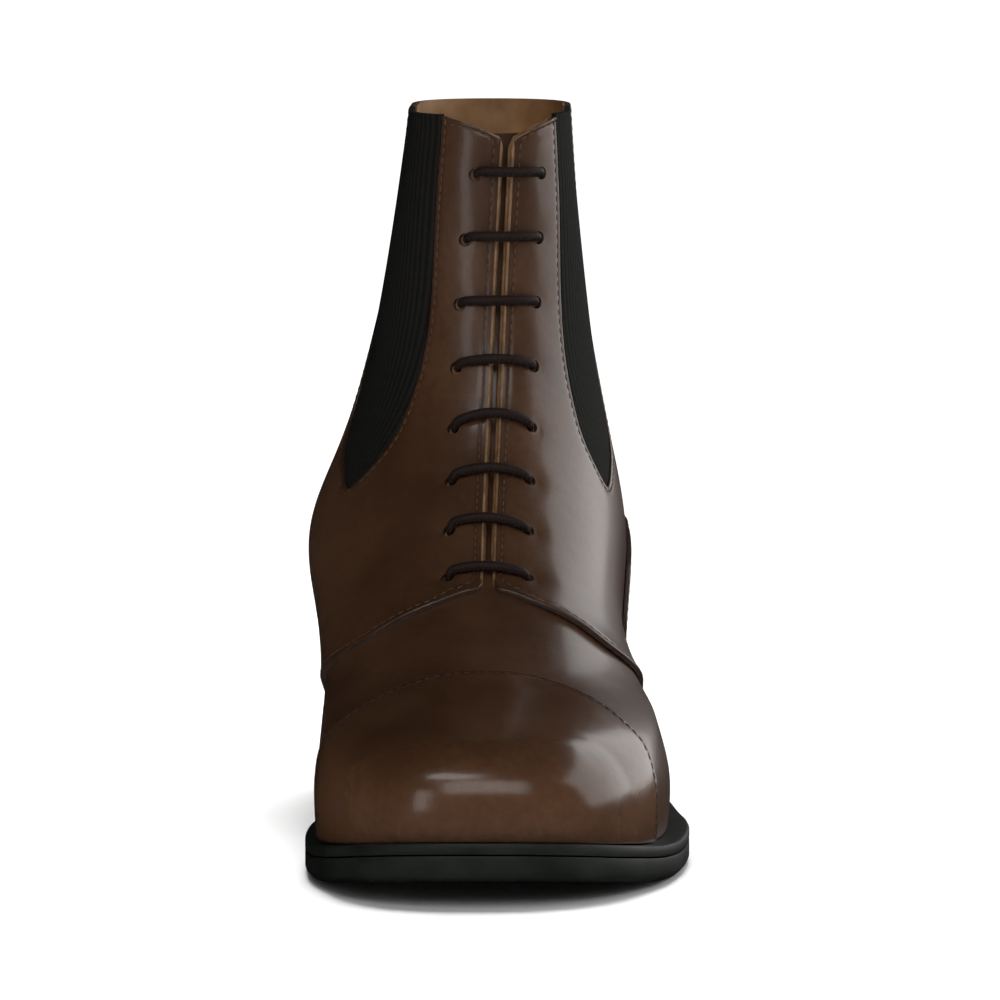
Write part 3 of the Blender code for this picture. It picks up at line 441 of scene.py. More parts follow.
def side_line(line, keep):
    """Distance from a line drawn in the side view; keep is +1 for its left, -1 for its right."""
    start = line[:-1]
    run = np.diff(line, axis=0)
    squares = (run * run).sum(-1)

    def field(k, ring):
        points, ways = surface(k, ring)
        place = np.stack([HEEL_CENTRE - points[:, 1], points[:, 2]], axis=-1)
        offset = place[:, None] - start[None]
        u = np.clip((offset * run).sum(-1) / squares, 0.0, 1.0)
        gap = offset - u[..., None] * run
        far = np.linalg.norm(gap, axis=-1)
        near = far.argmin(axis=1)
        pick = np.arange(len(near))
        far, gap, offset = far[pick, near], gap[pick, near], offset[pick, near]
        turn = run[near, 0] * offset[:, 1] - run[near, 1] * offset[:, 0]
        way = gap / np.maximum(far, 1e-9)[:, None]
        slope = way[:, 1] * ways[:, 2] - way[:, 0] * ways[:, 1]
        spread = np.sqrt(np.clip(1.0 - slope * slope, 0.15, 1.0))
        return keep * np.sign(turn) * far / spread

    return field


def drawn(rows, origin, scale, steps=3):
    """A smooth line from a table of shares."""
    return smooth_outline([(origin[0] + a * scale[0], origin[1] + b * scale[1])
                           for a, b in rows], steps)


def side_rows(table, side):
    """(ahead, height) rows of a table for the outer or the inner side."""
    return [(row[1] if side > 0 else row[2], row[0]) for row in table]


def quarter_line(side, shift=0.0):
    along, height = front_line(THROAT_RING)
    drop = height - float(sole_top(along))
    line = drawn(side_rows(QUARTER_EDGE, side), (along + shift, height), (LENGTH, drop))
    return np.vstack([[line[0, 0], 2.0 * UPPER_HEIGHT], line])


def cap_line(side):
    along = LENGTH * (1.0 - CAP_SEAM)
    low = float(sole_top(along))
    drop = 0.72 * INSTEP_HEIGHT + TOE_SPRING - low + OUTSOLE_THICKNESS + WELT_THICKNESS
    return drawn(side_rows(CAP_EDGE, side), (along, low), (LENGTH, drop))


def both_sides(line, keep):
    """One field from a line that differs on the outer and inner sides."""
    outer, inner = (side_line(line(side), keep) for side in (1, -1))

    def field(k, ring):
        share = np.clip(0.5 + round_distance(k, ring) / SIDE_BLEND, 0.0, 1.0)
        return share * outer(k, ring) + (1.0 - share) * inner(k, ring)

    return field


def rounded_corner(radius, *fields):
    """The nearest of several edges, with the corners between them rounded."""
    def field(k, ring):
        nearest = fields[0](k, ring)
        for other in fields[1:]:
            far = other(k, ring)
            blend = np.clip(radius - np.abs(nearest - far), 0.0, radius)
            nearest = np.minimum(nearest, far) - blend * blend / (4.0 * radius)
        return nearest
    return field


def counter_line():
    return drawn(COUNTER_EDGE, (0.0, float(sole_top(0.0))), (LENGTH, UPPER_HEIGHT))


def gore_line(side):
    base = float(sole_top(0.0))
    line = drawn(GORE_EDGES, (-side * GORE_STEP, base), (LENGTH, UPPER_HEIGHT), 4)
    high = base + 1.15 * UPPER_HEIGHT
    return np.vstack([[line[0, 0], high], line, [line[-1, 0], high]])


def slit_field(side):
    """Distance from the slit's edge of one facing."""
    def field(k, ring):
        return side * (round_distance(k, ring) - slit_x(ring)) - slit_half(ring)
    return field


def rim_field(k, ring):
    """Distance below the collar's top edge."""
    return (TOP - ring) * RING_STEP


def holes_field(k, ring):
    """Distance from the rim of the nearest lace hole."""
    points, _ = surface(k, ring)
    nearest = np.full(len(points), 1.0)
    for hole_k, hole_ring, _ in HOLES:
        centre, _ = surface(hole_k, hole_ring)
        nearest = np.minimum(nearest, np.linalg.norm(points - centre, axis=-1))
    return nearest - 0.5 * LACE_HOLE


# Cutting and joining

BURNISH_AND_GROOVE_SHADE = "burnish_and_groove_shade"              # darkening: burnish along cut edges, and painted shade in the grooves of the stitch rows
SEAM_SPREAD = 0.0011       # how far the darkening reaches from a cut edge
Edge = namedtuple("Edge", "field stitches")
ROUND = 0.0007             # radius of a cut leather edge
EDGE_LEVELS = (0.00012, 0.0003, 0.0007, 0.0013)   # distances of the rows that shape it
RAW_LIP = 0.0008           # undyed strip along the slit
GROOVE = 0.00016           # how far a stitch row pulls the leather in
GROOVE_SPREAD = 0.00045
GROOVE_HALF = 0.0005       # from a stitch row to the rows of vertices beside it
HOLE_MARGIN = 0.0022       # leather round a lace hole that has finer cells
seam_runs = []             # (thread, run, outer, relief) of every stitch row


def sheet_grid(k_low, k_high, ring_low, ring_high, columns, rows):
    """A flat sheet of cells in (k, ring)."""
    bm = bmesh.new()
    bm.verts.layers.float.new(BURNISH_AND_GROOVE_SHADE)
    bmesh.ops.create_grid(bm, x_segments=columns, y_segments=rows, size=0.5)
    for v in bm.verts:
        v.co.x = k_low + (v.co.x + 0.5) * (k_high - k_low)
        v.co.y = ring_low + (v.co.y + 0.5) * (ring_high - ring_low)
    return bm


def places(bm):
    table = np.array([v.co[:] for v in bm.verts])
    return table[:, 0], table[:, 1], table[:, 2]


def cut(bm, field, level, clear):
    """Cut a sheet along the line where a field has a level; the lower side may be cleared."""
    k, ring, _ = places(bm)
    for v, height in zip(bm.verts, (field(k, ring) - level) * 1000.0):
        v.co.z = height
    made = bmesh.ops.bisect_plane(bm, geom=bm.verts[:] + bm.edges[:] + bm.faces[:], dist=1e-5,
                                  plane_co=(0, 0, 0), plane_no=(0, 0, 1), clear_inner=clear)
    return [item for item in made["geom_cut"] if isinstance(item, bmesh.types.BMEdge)]


def chains(edges):
    """Runs of joined edges, as lists of (k, ring)."""
    links = {}
    for edge in edges:
        a, b = edge.verts
        links.setdefault(a, []).append(b)
        links.setdefault(b, []).append(a)
    starts = [v for v, joined in links.items() if len(joined) == 1] + list(links)
    used = set()
    runs = []
    for start in starts:
        if start in used:
            continue
        run = [start]
        used.add(start)
        while True:
            ahead = [v for v in links[run[-1]] if v not in used]
            if not ahead:
                break
            run.append(ahead[0])
            used.add(ahead[0])
        if len(run) > 3:
            runs.append([(v.co.x, v.co.y) for v in run])
    return runs


def rounded(distance):
    """How far a cut edge's rounding drops the face."""
    left = np.clip(ROUND - distance, 0.0, ROUND)
    return ROUND - np.sqrt(ROUND ** 2 - left ** 2)


def add_piece(name, bm, finishes, replaces=(), smooth=60.0):
    mesh = bpy.data.meshes.new(name)
    bm.to_mesh(mesh)
    bm.free()
    for finish in finishes:
        mesh.materials.append(finish)
    mesh.shade_smooth()
    mesh.set_sharp_from_angle(angle=math.radians(smooth))
    piece = bpy.data.objects.new(name, mesh)
    bpy.context.scene.collection.objects.link(piece)
    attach(piece, "root")
    if replaces:
        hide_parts(*replaces)
    return piece


def leather_panel(name, bm, edges, outer, inner, finishes, replaces, thread="brown",
                  relief=None, holes=False, raw=None):
    """Cut a sheet along its edges, give it a wall and lay it on the surface.

    The finishes are those of the face, the cut edges and the underside. Where the raw
    field is near zero the cut edge has the underside's finish.
    """
    for edge in edges:
        cut(bm, edge.field, 0.0, True)
    if holes:
        near = {}
        k, ring, _ = places(bm)
        close = holes_field(k, ring) < HOLE_MARGIN
        for v, flag in zip(bm.verts, close):
            near[v] = flag
        cells = [e for e in bm.edges if near[e.verts[0]] and near[e.verts[1]]]
        bmesh.ops.subdivide_edges(bm, edges=cells, cuts=3, use_grid_fill=True)
        cut(bm, holes_field, 0.0, True)
    for edge in edges:
        for level in EDGE_LEVELS:
            cut(bm, edge.field, level, False)
    for edge in edges:
        for level in edge.stitches:
            runs = chains(cut(bm, edge.field, level, False))
            for run in runs:
                seam_runs.append((thread, run, outer, relief))
            for side in (-GROOVE_HALF, GROOVE_HALF):
                cut(bm, edge.field, level + side, False)
    for v in bm.verts:
        v.co.z = 0.0
    made = bmesh.ops.extrude_face_region(bm, geom=bm.faces[:])
    for item in made["geom"]:
        if isinstance(item, bmesh.types.BMVert):
            item.co.z = 1.0
    k, ring, layer = places(bm)
    near = np.full(len(k), 0.02)
    sunk = np.zeros(len(k))
    for edge in edges:
        distance = edge.field(k, ring)
        near = np.minimum(near, distance)
        for level in edge.stitches:
            sunk += GROOVE * np.exp(-((distance - level) / GROOVE_SPREAD) ** 2)
    lift = relief(k, ring) if relief else 0.0
    top = outer - rounded(near) - sunk + lift
    offset = np.where(layer > 0.5, top, inner + lift)
    points, ways = surface(k, ring)
    laid = points + ways * offset[:, None]
    undyed = {v for v, gap in zip(bm.verts, raw(k, ring)) if gap < RAW_LIP} if raw else ()
    for face in bm.faces:
        heights = [v.co.z for v in face.verts]
        if min(heights) < 0.5 < max(heights):
            face.material_index = 2 if all(v in undyed for v in face.verts) else 1
        elif len(finishes) > 2 and (max(heights) < 0.5 or all(v in undyed for v in face.verts)):
            face.material_index = 2
    burnish_and_groove_shade = bm.verts.layers.float[BURNISH_AND_GROOVE_SHADE]
    # Burnish darkening along the cut edges, plus painted shade in the grooves of the stitch rows
    dark = 0.75 * np.exp(-near / SEAM_SPREAD) + 0.45 * sunk / GROOVE
    for v, place, shade in zip(bm.verts, laid, np.clip(dark, 0.0, 1.0)):
        v.co = place
        v[burnish_and_groove_shade] = shade
    bmesh.ops.remove_doubles(bm, verts=bm.verts, dist=1e-6)
    bmesh.ops.recalc_face_normals(bm, faces=bm.faces)
    piece = add_piece(name, bm, finishes, replaces)
    return piece


# Finishes

def shader_material(name, colour, roughness, **sockets):
    made = bpy.data.materials.new(name)
    made.use_nodes = True
    made.diffuse_color = (*colour, 1.0)
    shader = made.node_tree.nodes["Principled BSDF"]
    shader.inputs["Base Color"].default_value = (*colour, 1.0)
    shader.inputs["Roughness"].default_value = roughness
    for socket, value in sockets.items():
        shader.inputs[socket.replace("_", " ")].default_value = value
    return made, made.node_tree, shader


def add_node(tree, kind, settings=None, **inputs):
    """A node with its settings and with inputs that are values or other nodes' outputs."""
    node = tree.nodes.new(kind)
    for name, value in (settings or {}).items():
        setattr(node, name, value)
    for name, value in inputs.items():
        key = int(name[1:]) if name[1:].isdigit() else name.replace("_", " ")
        socket = node.inputs[key]
        if isinstance(value, bpy.types.NodeSocket):
            tree.links.new(value, socket)
        else:
            socket.default_value = value
    return node


def object_place(tree):
    return add_node(tree, "ShaderNodeTexCoord").outputs["Object"]


def noise(tree, place, scale, detail=3.0, roughness=0.5):
    return add_node(tree, "ShaderNodeTexNoise", Vector=place, Scale=scale, Detail=detail,
                    Roughness=roughness).outputs["Fac"]


def ramp(tree, value, stops):
    node = add_node(tree, "ShaderNodeValToRGB", Fac=value)
    for i, (place, colour) in enumerate(stops):
        stop = node.color_ramp.elements[i] if i < 2 else node.color_ramp.elements.new(place)
        stop.position = place
        stop.color = (*colour, 1.0)
    return node.outputs["Color"]


def mixed(tree, share, a, b):
    node = tree.nodes.new("ShaderNodeMix")
    node.data_type = 'RGBA'
    for socket, value in ((0, share), (6, a), (7, b)):
        if isinstance(value, bpy.types.NodeSocket):
            tree.links.new(value, node.inputs[socket])
        else:
            node.inputs[socket].default_value = value if socket == 0 else (*value, 1.0)
    return node.outputs[2]


def ranged(tree, value, low, high):
    return add_node(tree, "ShaderNodeMapRange", Value=value, To_Min=low, To_Max=high).outputs[0]


def bumped(tree, shader, layers):
    """Bump nodes one after the other: (height, strength, distance)."""
    way = None
    for height, strength, distance in layers:
        node = add_node(tree, "ShaderNodeBump", Height=height, Strength=strength,
                        Distance=distance)
        if way:
            tree.links.new(way, node.inputs["Normal"])
        way = node.outputs["Normal"]
    tree.links.new(way, shader.inputs["Normal"])


def polished_leather(name, dark, light, roughness):
    """Smooth polished leather with a fine grain and a faint cloudiness."""
    made, tree, shader = shader_material(name, light, roughness, Coat_Weight=0.22,
                                         Coat_Roughness=0.14, Specular_IOR_Level=0.36)
    place = object_place(tree)
    cloud = noise(tree, place, 28.0, 4.0, 0.55)
    fleck = noise(tree, place, 420.0, 3.0, 0.6)
    colour = ramp(tree, cloud, ((0.30, dark), (0.72, light)))
    darker = tuple(0.55 * c for c in dark)
    colour = mixed(tree, ranged(tree, fleck, -0.25, 0.55), colour, darker)
    # Darker along cut edges (burnish) and in stitch grooves (painted shade), from the vertex layer
    burnish_and_groove_shade = add_node(tree, "ShaderNodeAttribute", {"attribute_name": BURNISH_AND_GROOVE_SHADE}).outputs["Fac"]
    colour = mixed(tree, burnish_and_groove_shade, colour, darker)
    tree.links.new(colour, shader.inputs["Base Color"])
    tree.links.new(ranged(tree, cloud, roughness - 0.03, roughness + 0.045),
                   shader.inputs["Roughness"])
    grain = add_node(tree, "ShaderNodeTexVoronoi", {"feature": 'SMOOTH_F1'}, Vector=place,
                     Scale=1500.0, Smoothness=0.4).outputs["Distance"]
    bumped(tree, shader, ((noise(tree, place, 70.0, 2.0), 0.22, 0.0010),
                          (grain, 0.10, 0.00018),
                          (noise(tree, place, 2600.0, 2.0), 0.06, 0.00010)))
    return made


def matt_leather(name, dark, light, scale=300.0):
    made, tree, shader = shader_material(name, light, 0.62)
    place = object_place(tree)
    cloud = noise(tree, place, scale, 4.0, 0.6)
    tree.links.new(ramp(tree, cloud, ((0.25, dark), (0.75, light))), shader.inputs["Base Color"])
    bumped(tree, shader, ((cloud, 0.35, 0.0002), (noise(tree, place, 1800.0, 2.0), 0.2, 0.0001)))
    return made


def ribbed_elastic():
    """Woven elastic with upright ribs."""
    made, tree, shader = shader_material("ribbed_elastic", (0.010, 0.010, 0.009), 0.85,
                                         Specular_IOR_Level=0.08)
    place = object_place(tree)
    ribs = add_node(tree, "ShaderNodeTexWave", {"wave_type": 'BANDS', "bands_direction": 'Y'},
                    Vector=place, Scale=165.0, Distortion=0.35, Detail=1.0).outputs["Fac"]
    weave = add_node(tree, "ShaderNodeTexWave", {"wave_type": 'BANDS', "bands_direction": 'Z'},
                     Vector=place, Scale=480.0, Distortion=0.6, Detail=1.0).outputs["Fac"]
    colour = ramp(tree, ribs, ((0.1, (0.007, 0.007, 0.0062)), (0.9, (0.014, 0.0135, 0.012))))
    tree.links.new(colour, shader.inputs["Base Color"])
    bumped(tree, shader, ((ribs, 0.18, 0.0003), (weave, 0.2, 0.00012)))
    return made


def sole_rubber(name, tread=False):
    made, tree, shader = shader_material(name, (0.018, 0.020, 0.016), 0.55,
                                         Specular_IOR_Level=0.22)
    place = object_place(tree)
    cloud = noise(tree, place, 90.0, 4.0, 0.6)
    colour = ramp(tree, cloud, ((0.3, (0.007, 0.009, 0.0065)), (0.75, (0.017, 0.020, 0.0155))))
    tree.links.new(colour, shader.inputs["Base Color"])
    tree.links.new(ranged(tree, cloud, 0.40, 0.62), shader.inputs["Roughness"])
    layers = [(noise(tree, place, 900.0, 3.0), 0.18, 0.00015)]
    if tread:
        bars = add_node(tree, "ShaderNodeTexWave", {"wave_type": 'BANDS', "bands_direction": 'Y'},
                        Vector=place, Scale=62.0, Distortion=0.0).outputs["Fac"]
        layers.insert(0, (ranged(tree, bars, 0.0, 1.0), 0.8, 0.0008))
    bumped(tree, shader, layers)
    return made


def thread_material(name, colour):
    made, tree, shader = shader_material(name, colour, 0.55)
    place = object_place(tree)
    dark = tuple(0.6 * c for c in colour)
    twist = ramp(tree, noise(tree, place, 900.0), ((0.2, dark), (0.8, colour)))
    tree.links.new(twist, shader.inputs["Base Color"])
    bumped(tree, shader, ((noise(tree, place, 4000.0), 0.3, 0.0001),))
    return made


def braided_lace():
    made, tree, shader = shader_material("braided_lace", (0.020, 0.010, 0.007), 0.6,
                                         Specular_IOR_Level=0.2)
    place = object_place(tree)
    strands = [add_node(tree, "ShaderNodeTexWave", {"wave_type": 'BANDS',
                                                    "bands_direction": 'DIAGONAL'},
                        Vector=add_node(tree, "ShaderNodeMapping", Vector=place,
                                        Scale=(side, 1.0, 1.0)).outputs[0],
                        Scale=520.0, Distortion=0.5).outputs["Fac"] for side in (1.0, -1.0)]
    braid = add_node(tree, "ShaderNodeMath", {"operation": 'MULTIPLY'}, _0=strands[0],
                     _1=strands[1]).outputs[0]
    colour = ramp(tree, braid, ((0.0, (0.012, 0.006, 0.0045)), (0.7, (0.026, 0.013, 0.009))))
    tree.links.new(colour, shader.inputs["Base Color"])
    bumped(tree, shader, ((braid, 0.3, 0.0002),))
    return made


BROWN = polished_leather("brown_leather", (0.052, 0.0230, 0.0110),
                         (0.100, 0.0480, 0.0240), 0.325)
CAP_BROWN = polished_leather("cap_leather", (0.056, 0.0245, 0.0115),
                             (0.106, 0.0500, 0.0245), 0.215)
RAW = matt_leather("raw_leather_edge", (0.120, 0.060, 0.028), (0.300, 0.165, 0.075))
CUT = matt_leather("dyed_leather_edge", (0.020, 0.010, 0.007), (0.060, 0.032, 0.020))
LINING = matt_leather("tan_lining", (0.250, 0.120, 0.045), (0.430, 0.235, 0.100), 120.0)
ELASTIC = ribbed_elastic()
RUBBER = sole_rubber("sole_rubber")
TREAD = sole_rubber("tread_rubber", tread=True)
THREADS = {"brown": thread_material("brown_thread", (0.125, 0.063, 0.031)),
           "dark": thread_material("dark_thread", (0.030, 0.016, 0.011))}
LACE = braided_lace()


# Leathers

DIMPLE = 0.00022           # depth of the leather's dimple at the highest lace holes
DIMPLE_GAIN = 0.00018      # how much deeper it is at the throat
DIMPLE_REACH = 0.0042
TROUGH_LENGTH = 0.013      # trough that runs outwards from a hole
TROUGH_WIDTH = 0.0032
EDGE_LIFT = 0.00025        # quarters' free edge over the vamp, inner side
EDGE_LIFT_GAIN = 0.00050   # how much more it stands off on the outer side
ROLL_RING = 13.45          # from here up the facings' corners roll outwards
ROLL_OUTER = 0.0014
ROLL_INNER = 0.0002
QUARTER_UNDER = -0.0003    # underside of the quarters' outer leather
LINING_FACE = -0.00035     # lining's face, which lies against it

# Halves of the shaft: name, side, and the k that their sheets run from and to
HALVES = (("outer", 1, -0.5, 18.0), ("inner", -1, 18.0, 37.5))


def pulled_leather(k, ring):
    """The lace draws the facings in at its holes and the leather swells between the bars."""
    points, _ = surface(k, ring)
    lift = np.zeros(len(points))
    for hole_k, hole_ring, side in HOLES:
        centre, _ = surface(hole_k, hole_ring)
        gap = points - centre
        out = side * (round_distance(k, ring) - float(round_distance(hole_k, hole_ring)))
        beyond = np.clip(out / TROUGH_LENGTH, 0.0, 1.0)
        reach = np.hypot(gap[:, 1], gap[:, 2])
        low = 1.0 - (hole_ring - FIRST_BAR_RING) / (LAST_BAR_RING - FIRST_BAR_RING)
        depth = DIMPLE + DIMPLE_GAIN * low
        lift -= depth * np.exp(-np.linalg.norm(gap, axis=-1) ** 2 / DIMPLE_REACH ** 2)
        trough = np.exp(-(reach / TROUGH_WIDTH) ** 2) * (1.0 - beyond) * (out > 0.0)
        lift -= 1.3 * depth * low * trough * np.minimum(out / 0.003, 1.0)
    return lift


def quarter_relief(k, ring):
    """Pull of the laces, and the free edge standing off the vamp."""
    lift = pulled_leather(k, ring)
    edge = np.clip(quarter_both(k, ring), 0.0, 0.05)
    outer = np.clip(round_distance(k, ring) / 0.02, 0.0, 1.0)
    lift += (EDGE_LIFT + EDGE_LIFT_GAIN * outer) * np.exp(-edge / 0.0045)
    corner = np.clip((ring - ROLL_RING) / (TOP - ROLL_RING), 0.0, 1.0)
    facing = np.abs(round_distance(k, ring) - slit_x(ring))
    roll = np.exp(-((facing - 0.006) / 0.006) ** 2) * corner ** 2
    lift += np.where(round_distance(k, ring) > slit_x(ring), ROLL_OUTER, ROLL_INNER) * roll
    return lift


quarter_fields = {side: side_line(quarter_line(side), -1) for side in (1, -1)}
quarter_both = both_sides(quarter_line, -1)
counter_field = side_line(counter_line(), +1)
cap_field = both_sides(cap_line, +1)
vamp_field = both_sides(lambda side: quarter_line(side, -QUARTER_LAP), +1)
gore_fields = {side: side_line(gore_line(side), +1) for side in (1, -1)}


def against(field):
    def value(k, ring):
        return -field(k, ring)
    return value


def beyond(field, distance):
    def value(k, ring):
        return field(k, ring) - distance
    return value


def make_leathers():
    leather_panel("vamp", sheet_grid(-13.5, 13.5, 0.0, 9.2, 330, 150),
                  [Edge(vamp_field, ())], 0.0, -VAMP_WALL, (BROWN, CUT, LINING),
                  ["upper"])
    leather_panel("toe_cap_leather", sheet_grid(-10.0, 10.0, 0.0, 6.6, 250, 120),
                  [Edge(cap_field, (0.0017,))], GAP + LAYER, GAP, (CAP_BROWN, CUT),
                  ["toe_cap"], "dark")
    for half, side, low, high in HALVES:
        front = rounded_corner(FACING_CORNER, quarter_fields[side], slit_field(side), rim_field)
        leather_panel(f"quarter_{half}", sheet_grid(low, high, 0.0, TOP, 170, 170),
                      [Edge(front, (0.0023,)), Edge(gore_fields[side], (0.0016,))],
                      LAYER, QUARTER_UNDER, (BROWN, CUT, RAW), ["upper"],
                      relief=quarter_relief, holes=True, raw=slit_field(side))
    for half, side, low, high in HALVES:
        leather_panel(f"lining_{half}", sheet_grid(low, high, 0.0, TOP, 110, 120),
                      [Edge(rounded_corner(FACING_CORNER, beyond(quarter_fields[side], 0.0002),
                                           beyond(slit_field(side), -0.0005), rim_field), ()),
                       Edge(gore_fields[side], ())],
                      LINING_FACE, LAYER - QUARTER_WALL, (RAW, RAW, LINING), ["upper"],
                      relief=pulled_leather)
    leather_panel("counter_leather", sheet_grid(9.0, 27.0, 0.0, 6.6, 220, 110),
                  [Edge(counter_field, (0.0018,))], 2.0 * LAYER + GAP, LAYER + GAP,
                  (BROWN, CUT), ["heel_counter"])
    for name, side, low, high in (("elastic_outer", 1, 2.0, 16.0),
                                  ("elastic_inner", -1, 20.0, 34.0)):
        leather_panel(name, sheet_grid(low, high, 7.0, TOP, 110, 110),
                      [Edge(beyond(against(gore_fields[side]), GAP), ())],
                      LAYER - GORE_SINK, LAYER - GORE_SINK - GORE_THICKNESS,
                      (ELASTIC, ELASTIC),
                      ["gore_outer" if side > 0 else "gore_inner"])


def make_tongue():
    """Tongue inside the facings, its top just below the notch."""
    first = THROAT_RING - TONGUE_TUCK
    last = TOP - TONGUE_DROP / (RINGS[-1].front_up - RINGS[-2].front_up)
    bm = bmesh.new()
    bmesh.ops.create_grid(bm, x_segments=40, y_segments=110, size=0.5)
    made = bmesh.ops.extrude_face_region(bm, geom=bm.faces[:])
    for item in made["geom"]:
        if isinstance(item, bmesh.types.BMVert):
            item.co.z = 1.0
    for v in bm.verts:
        u, share = 2.0 * v.co.x, v.co.y + 0.5
        ring = first + share * (last - first)
        half = 0.5 * TONGUE_WIDTH * (0.62 + 0.38 * share)
        half *= 1.0 - 0.12 * np.clip((share - 0.94) / 0.06, 0.0, 1.0) ** 2
        point, way = surface(k_at(ring, half * u), ring)
        edge = min(1.0 - abs(u), 0.08) / 0.08
        thin = 0.35 * TONGUE_THICKNESS * (1.0 - edge) ** 2
        face = -(VAMP_WALL + 2.0 * GAP) - (thin if v.co.z > 0.5 else TONGUE_THICKNESS)
        v.co = Vector(point + way * face)
    bmesh.ops.recalc_face_normals(bm, faces=bm.faces)
    piece = add_piece("tongue_leather", bm, (BROWN,), ["tongue"])


STITCH_PITCH = 0.0026
STITCH_HALVES = (0.00098, 0.00022, 0.00020)   # half length, width and height of a stitch


def make_stitches():
    """Every stitch row, sewn as short rounded threads."""
    made = {}
    for thread, run, outer, relief in seam_runs:
        k, ring = np.array(run).T
        points, ways = surface(k, ring)
        lift = outer - GROOVE + 0.00006 + (relief(k, ring) if relief else 0.0)
        points = points + ways * (np.zeros(len(k)) + lift)[:, None]
        steps = np.linalg.norm(np.diff(points, axis=0), axis=1)
        length = np.concatenate([[0.0], np.cumsum(steps)])
        count = int(length[-1] / STITCH_PITCH)
        if count < 3:
            continue
        bm = made.setdefault(thread, bmesh.new())
        for i in range(count):
            middle = (i + 0.5) * length[-1] / count
            here, ahead, way = (np.array([np.interp(middle + shift, length, table[:, axis])
                                          for axis in range(3)])
                                for shift, table in ((0.0, points), (0.0006, points), (0.0, ways)))
            along = Vector(ahead - here)
            if along.length < 1e-6:
                continue
            along.normalize()
            up = Vector(way).normalized()
            side = up.cross(along).normalized()
            turn = Matrix((along, side, along.cross(side))).transposed().to_4x4()
            size = Matrix.Diagonal((*STITCH_HALVES, 1.0))
            bmesh.ops.create_uvsphere(bm, u_segments=6, v_segments=5, radius=1.0,
                                      matrix=Matrix.Translation(here) @ turn @ size)
    for thread, bm in made.items():
        piece = add_piece(f"{thread}_stitching", bm, (THREADS[thread],))


# Lace

# How far each bar bows up in its middle and how far its outer end hangs lower, from the
# lowest bar to the highest
LACE_BOW = (0.0024, 0.0030, 0.0036, 0.0042, 0.0022, 0.0006, 0.0003, 0.0)
LACE_HANG = (0.0012, 0.0018, 0.0008, 0.0008, 0.0008, 0.0004, 0.0006, 0.0006)


SQUEEZED = 0.45            # the lace's thickness under the facings, as a share
IN_HOLE = 0.70             # the same in a lace hole


def lace_point(bar_ring, share, rise, offset):
    """Place on a lace bar: share from -1 to 1 between its holes, rise in rings over them."""
    ring = bar_ring + rise
    point, way = surface(k_at(ring, lace_place(bar_ring, share)), ring)
    return Vector(point + way * offset)


def make_lace():
    """One lace: over the slit, down a hole, up under the facing and out of the next hole."""
    radius = LACE_DIAMETER / 2.0
    under = LAYER - QUARTER_WALL - 0.0007
    points = []
    for bar, ring in enumerate(BAR_RINGS):
        side = -1 if bar % 2 == 0 else 1
        points.append((lace_point(ring, side, 0.0, under), SQUEEZED))
        points.append((lace_point(ring, side, 0.0, 0.0004), IN_HOLE))
        for share in np.linspace(0.06, 0.94, 9):
            place = side * (1.0 - 2.0 * share)
            bow = math.sin(math.pi * share)
            rise = (0.0007 + LACE_BOW[bar] * bow - 0.5 * LACE_HANG[bar] * place) / RING_STEP
            lift = LAYER + radius * (0.20 + 0.85 * bow ** 0.5)
            points.append((lace_point(ring, place, rise, lift), 0.82 + 0.18 * bow ** 0.4))
        points.append((lace_point(ring, -side, 0.0, 0.0004), IN_HOLE))
        points.append((lace_point(ring, -side, 0.0, under), SQUEEZED))
        if bar < LACE_BARS - 1:
            step = BAR_RINGS[bar + 1] - ring
            for share in (0.3, 0.7):
                points.append((lace_point(ring, -side, step * share, under), SQUEEZED))
    data = bpy.data.curves.new("lace", 'CURVE')
    data.dimensions = '3D'
    data.bevel_depth = radius
    data.bevel_resolution = 4
    data.use_fill_caps = True
    line = data.splines.new('NURBS')
    line.points.add(len(points) - 1)
    for spot, (place, thickness) in zip(line.points, points):
        spot.co = (*place, 1.0)
        spot.radius = thickness
    line.order_u = 3
    line.resolution_u = 4
    line.use_endpoint_u = True
    data.materials.append(LACE)
    piece = bpy.data.objects.new("lace", data)
    bpy.context.scene.collection.objects.link(piece)
    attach(piece, "root")
    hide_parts(*[f"lace_bar_{bar + 1}" for bar in range(LACE_BARS)])


# Sole

def outline(offset, margins=True):
    """Plan outline of the feather line moved outwards, or of the sole's edge."""
    feather = grid_points[0]
    run = np.roll(feather, -1, axis=0) - np.roll(feather, 1, axis=0)
    way = np.stack([run[:, 1], -run[:, 0]], axis=-1)
    way /= np.linalg.norm(way, axis=-1, keepdims=True)
    extra = 0.0
    if margins:
        along = HEEL_CENTRE - feather[:, 1]
        lean = 0.5 + 0.5 * np.clip(feather[:, 0] / (0.25 * HALF_BALL), -1.0, 1.0)
        extra = lean * edge_outer(along) + (1.0 - lean) * edge_inner(along)
    return feather[:, :2] + way * np.reshape(offset + extra, (-1, 1))


def loop_at(plan, height, lift=0.0):
    level = height(HEEL_CENTRE - plan[:, 1]) + lift
    return np.column_stack([plan, level])


def flat_floor(along):
    return np.zeros_like(along)


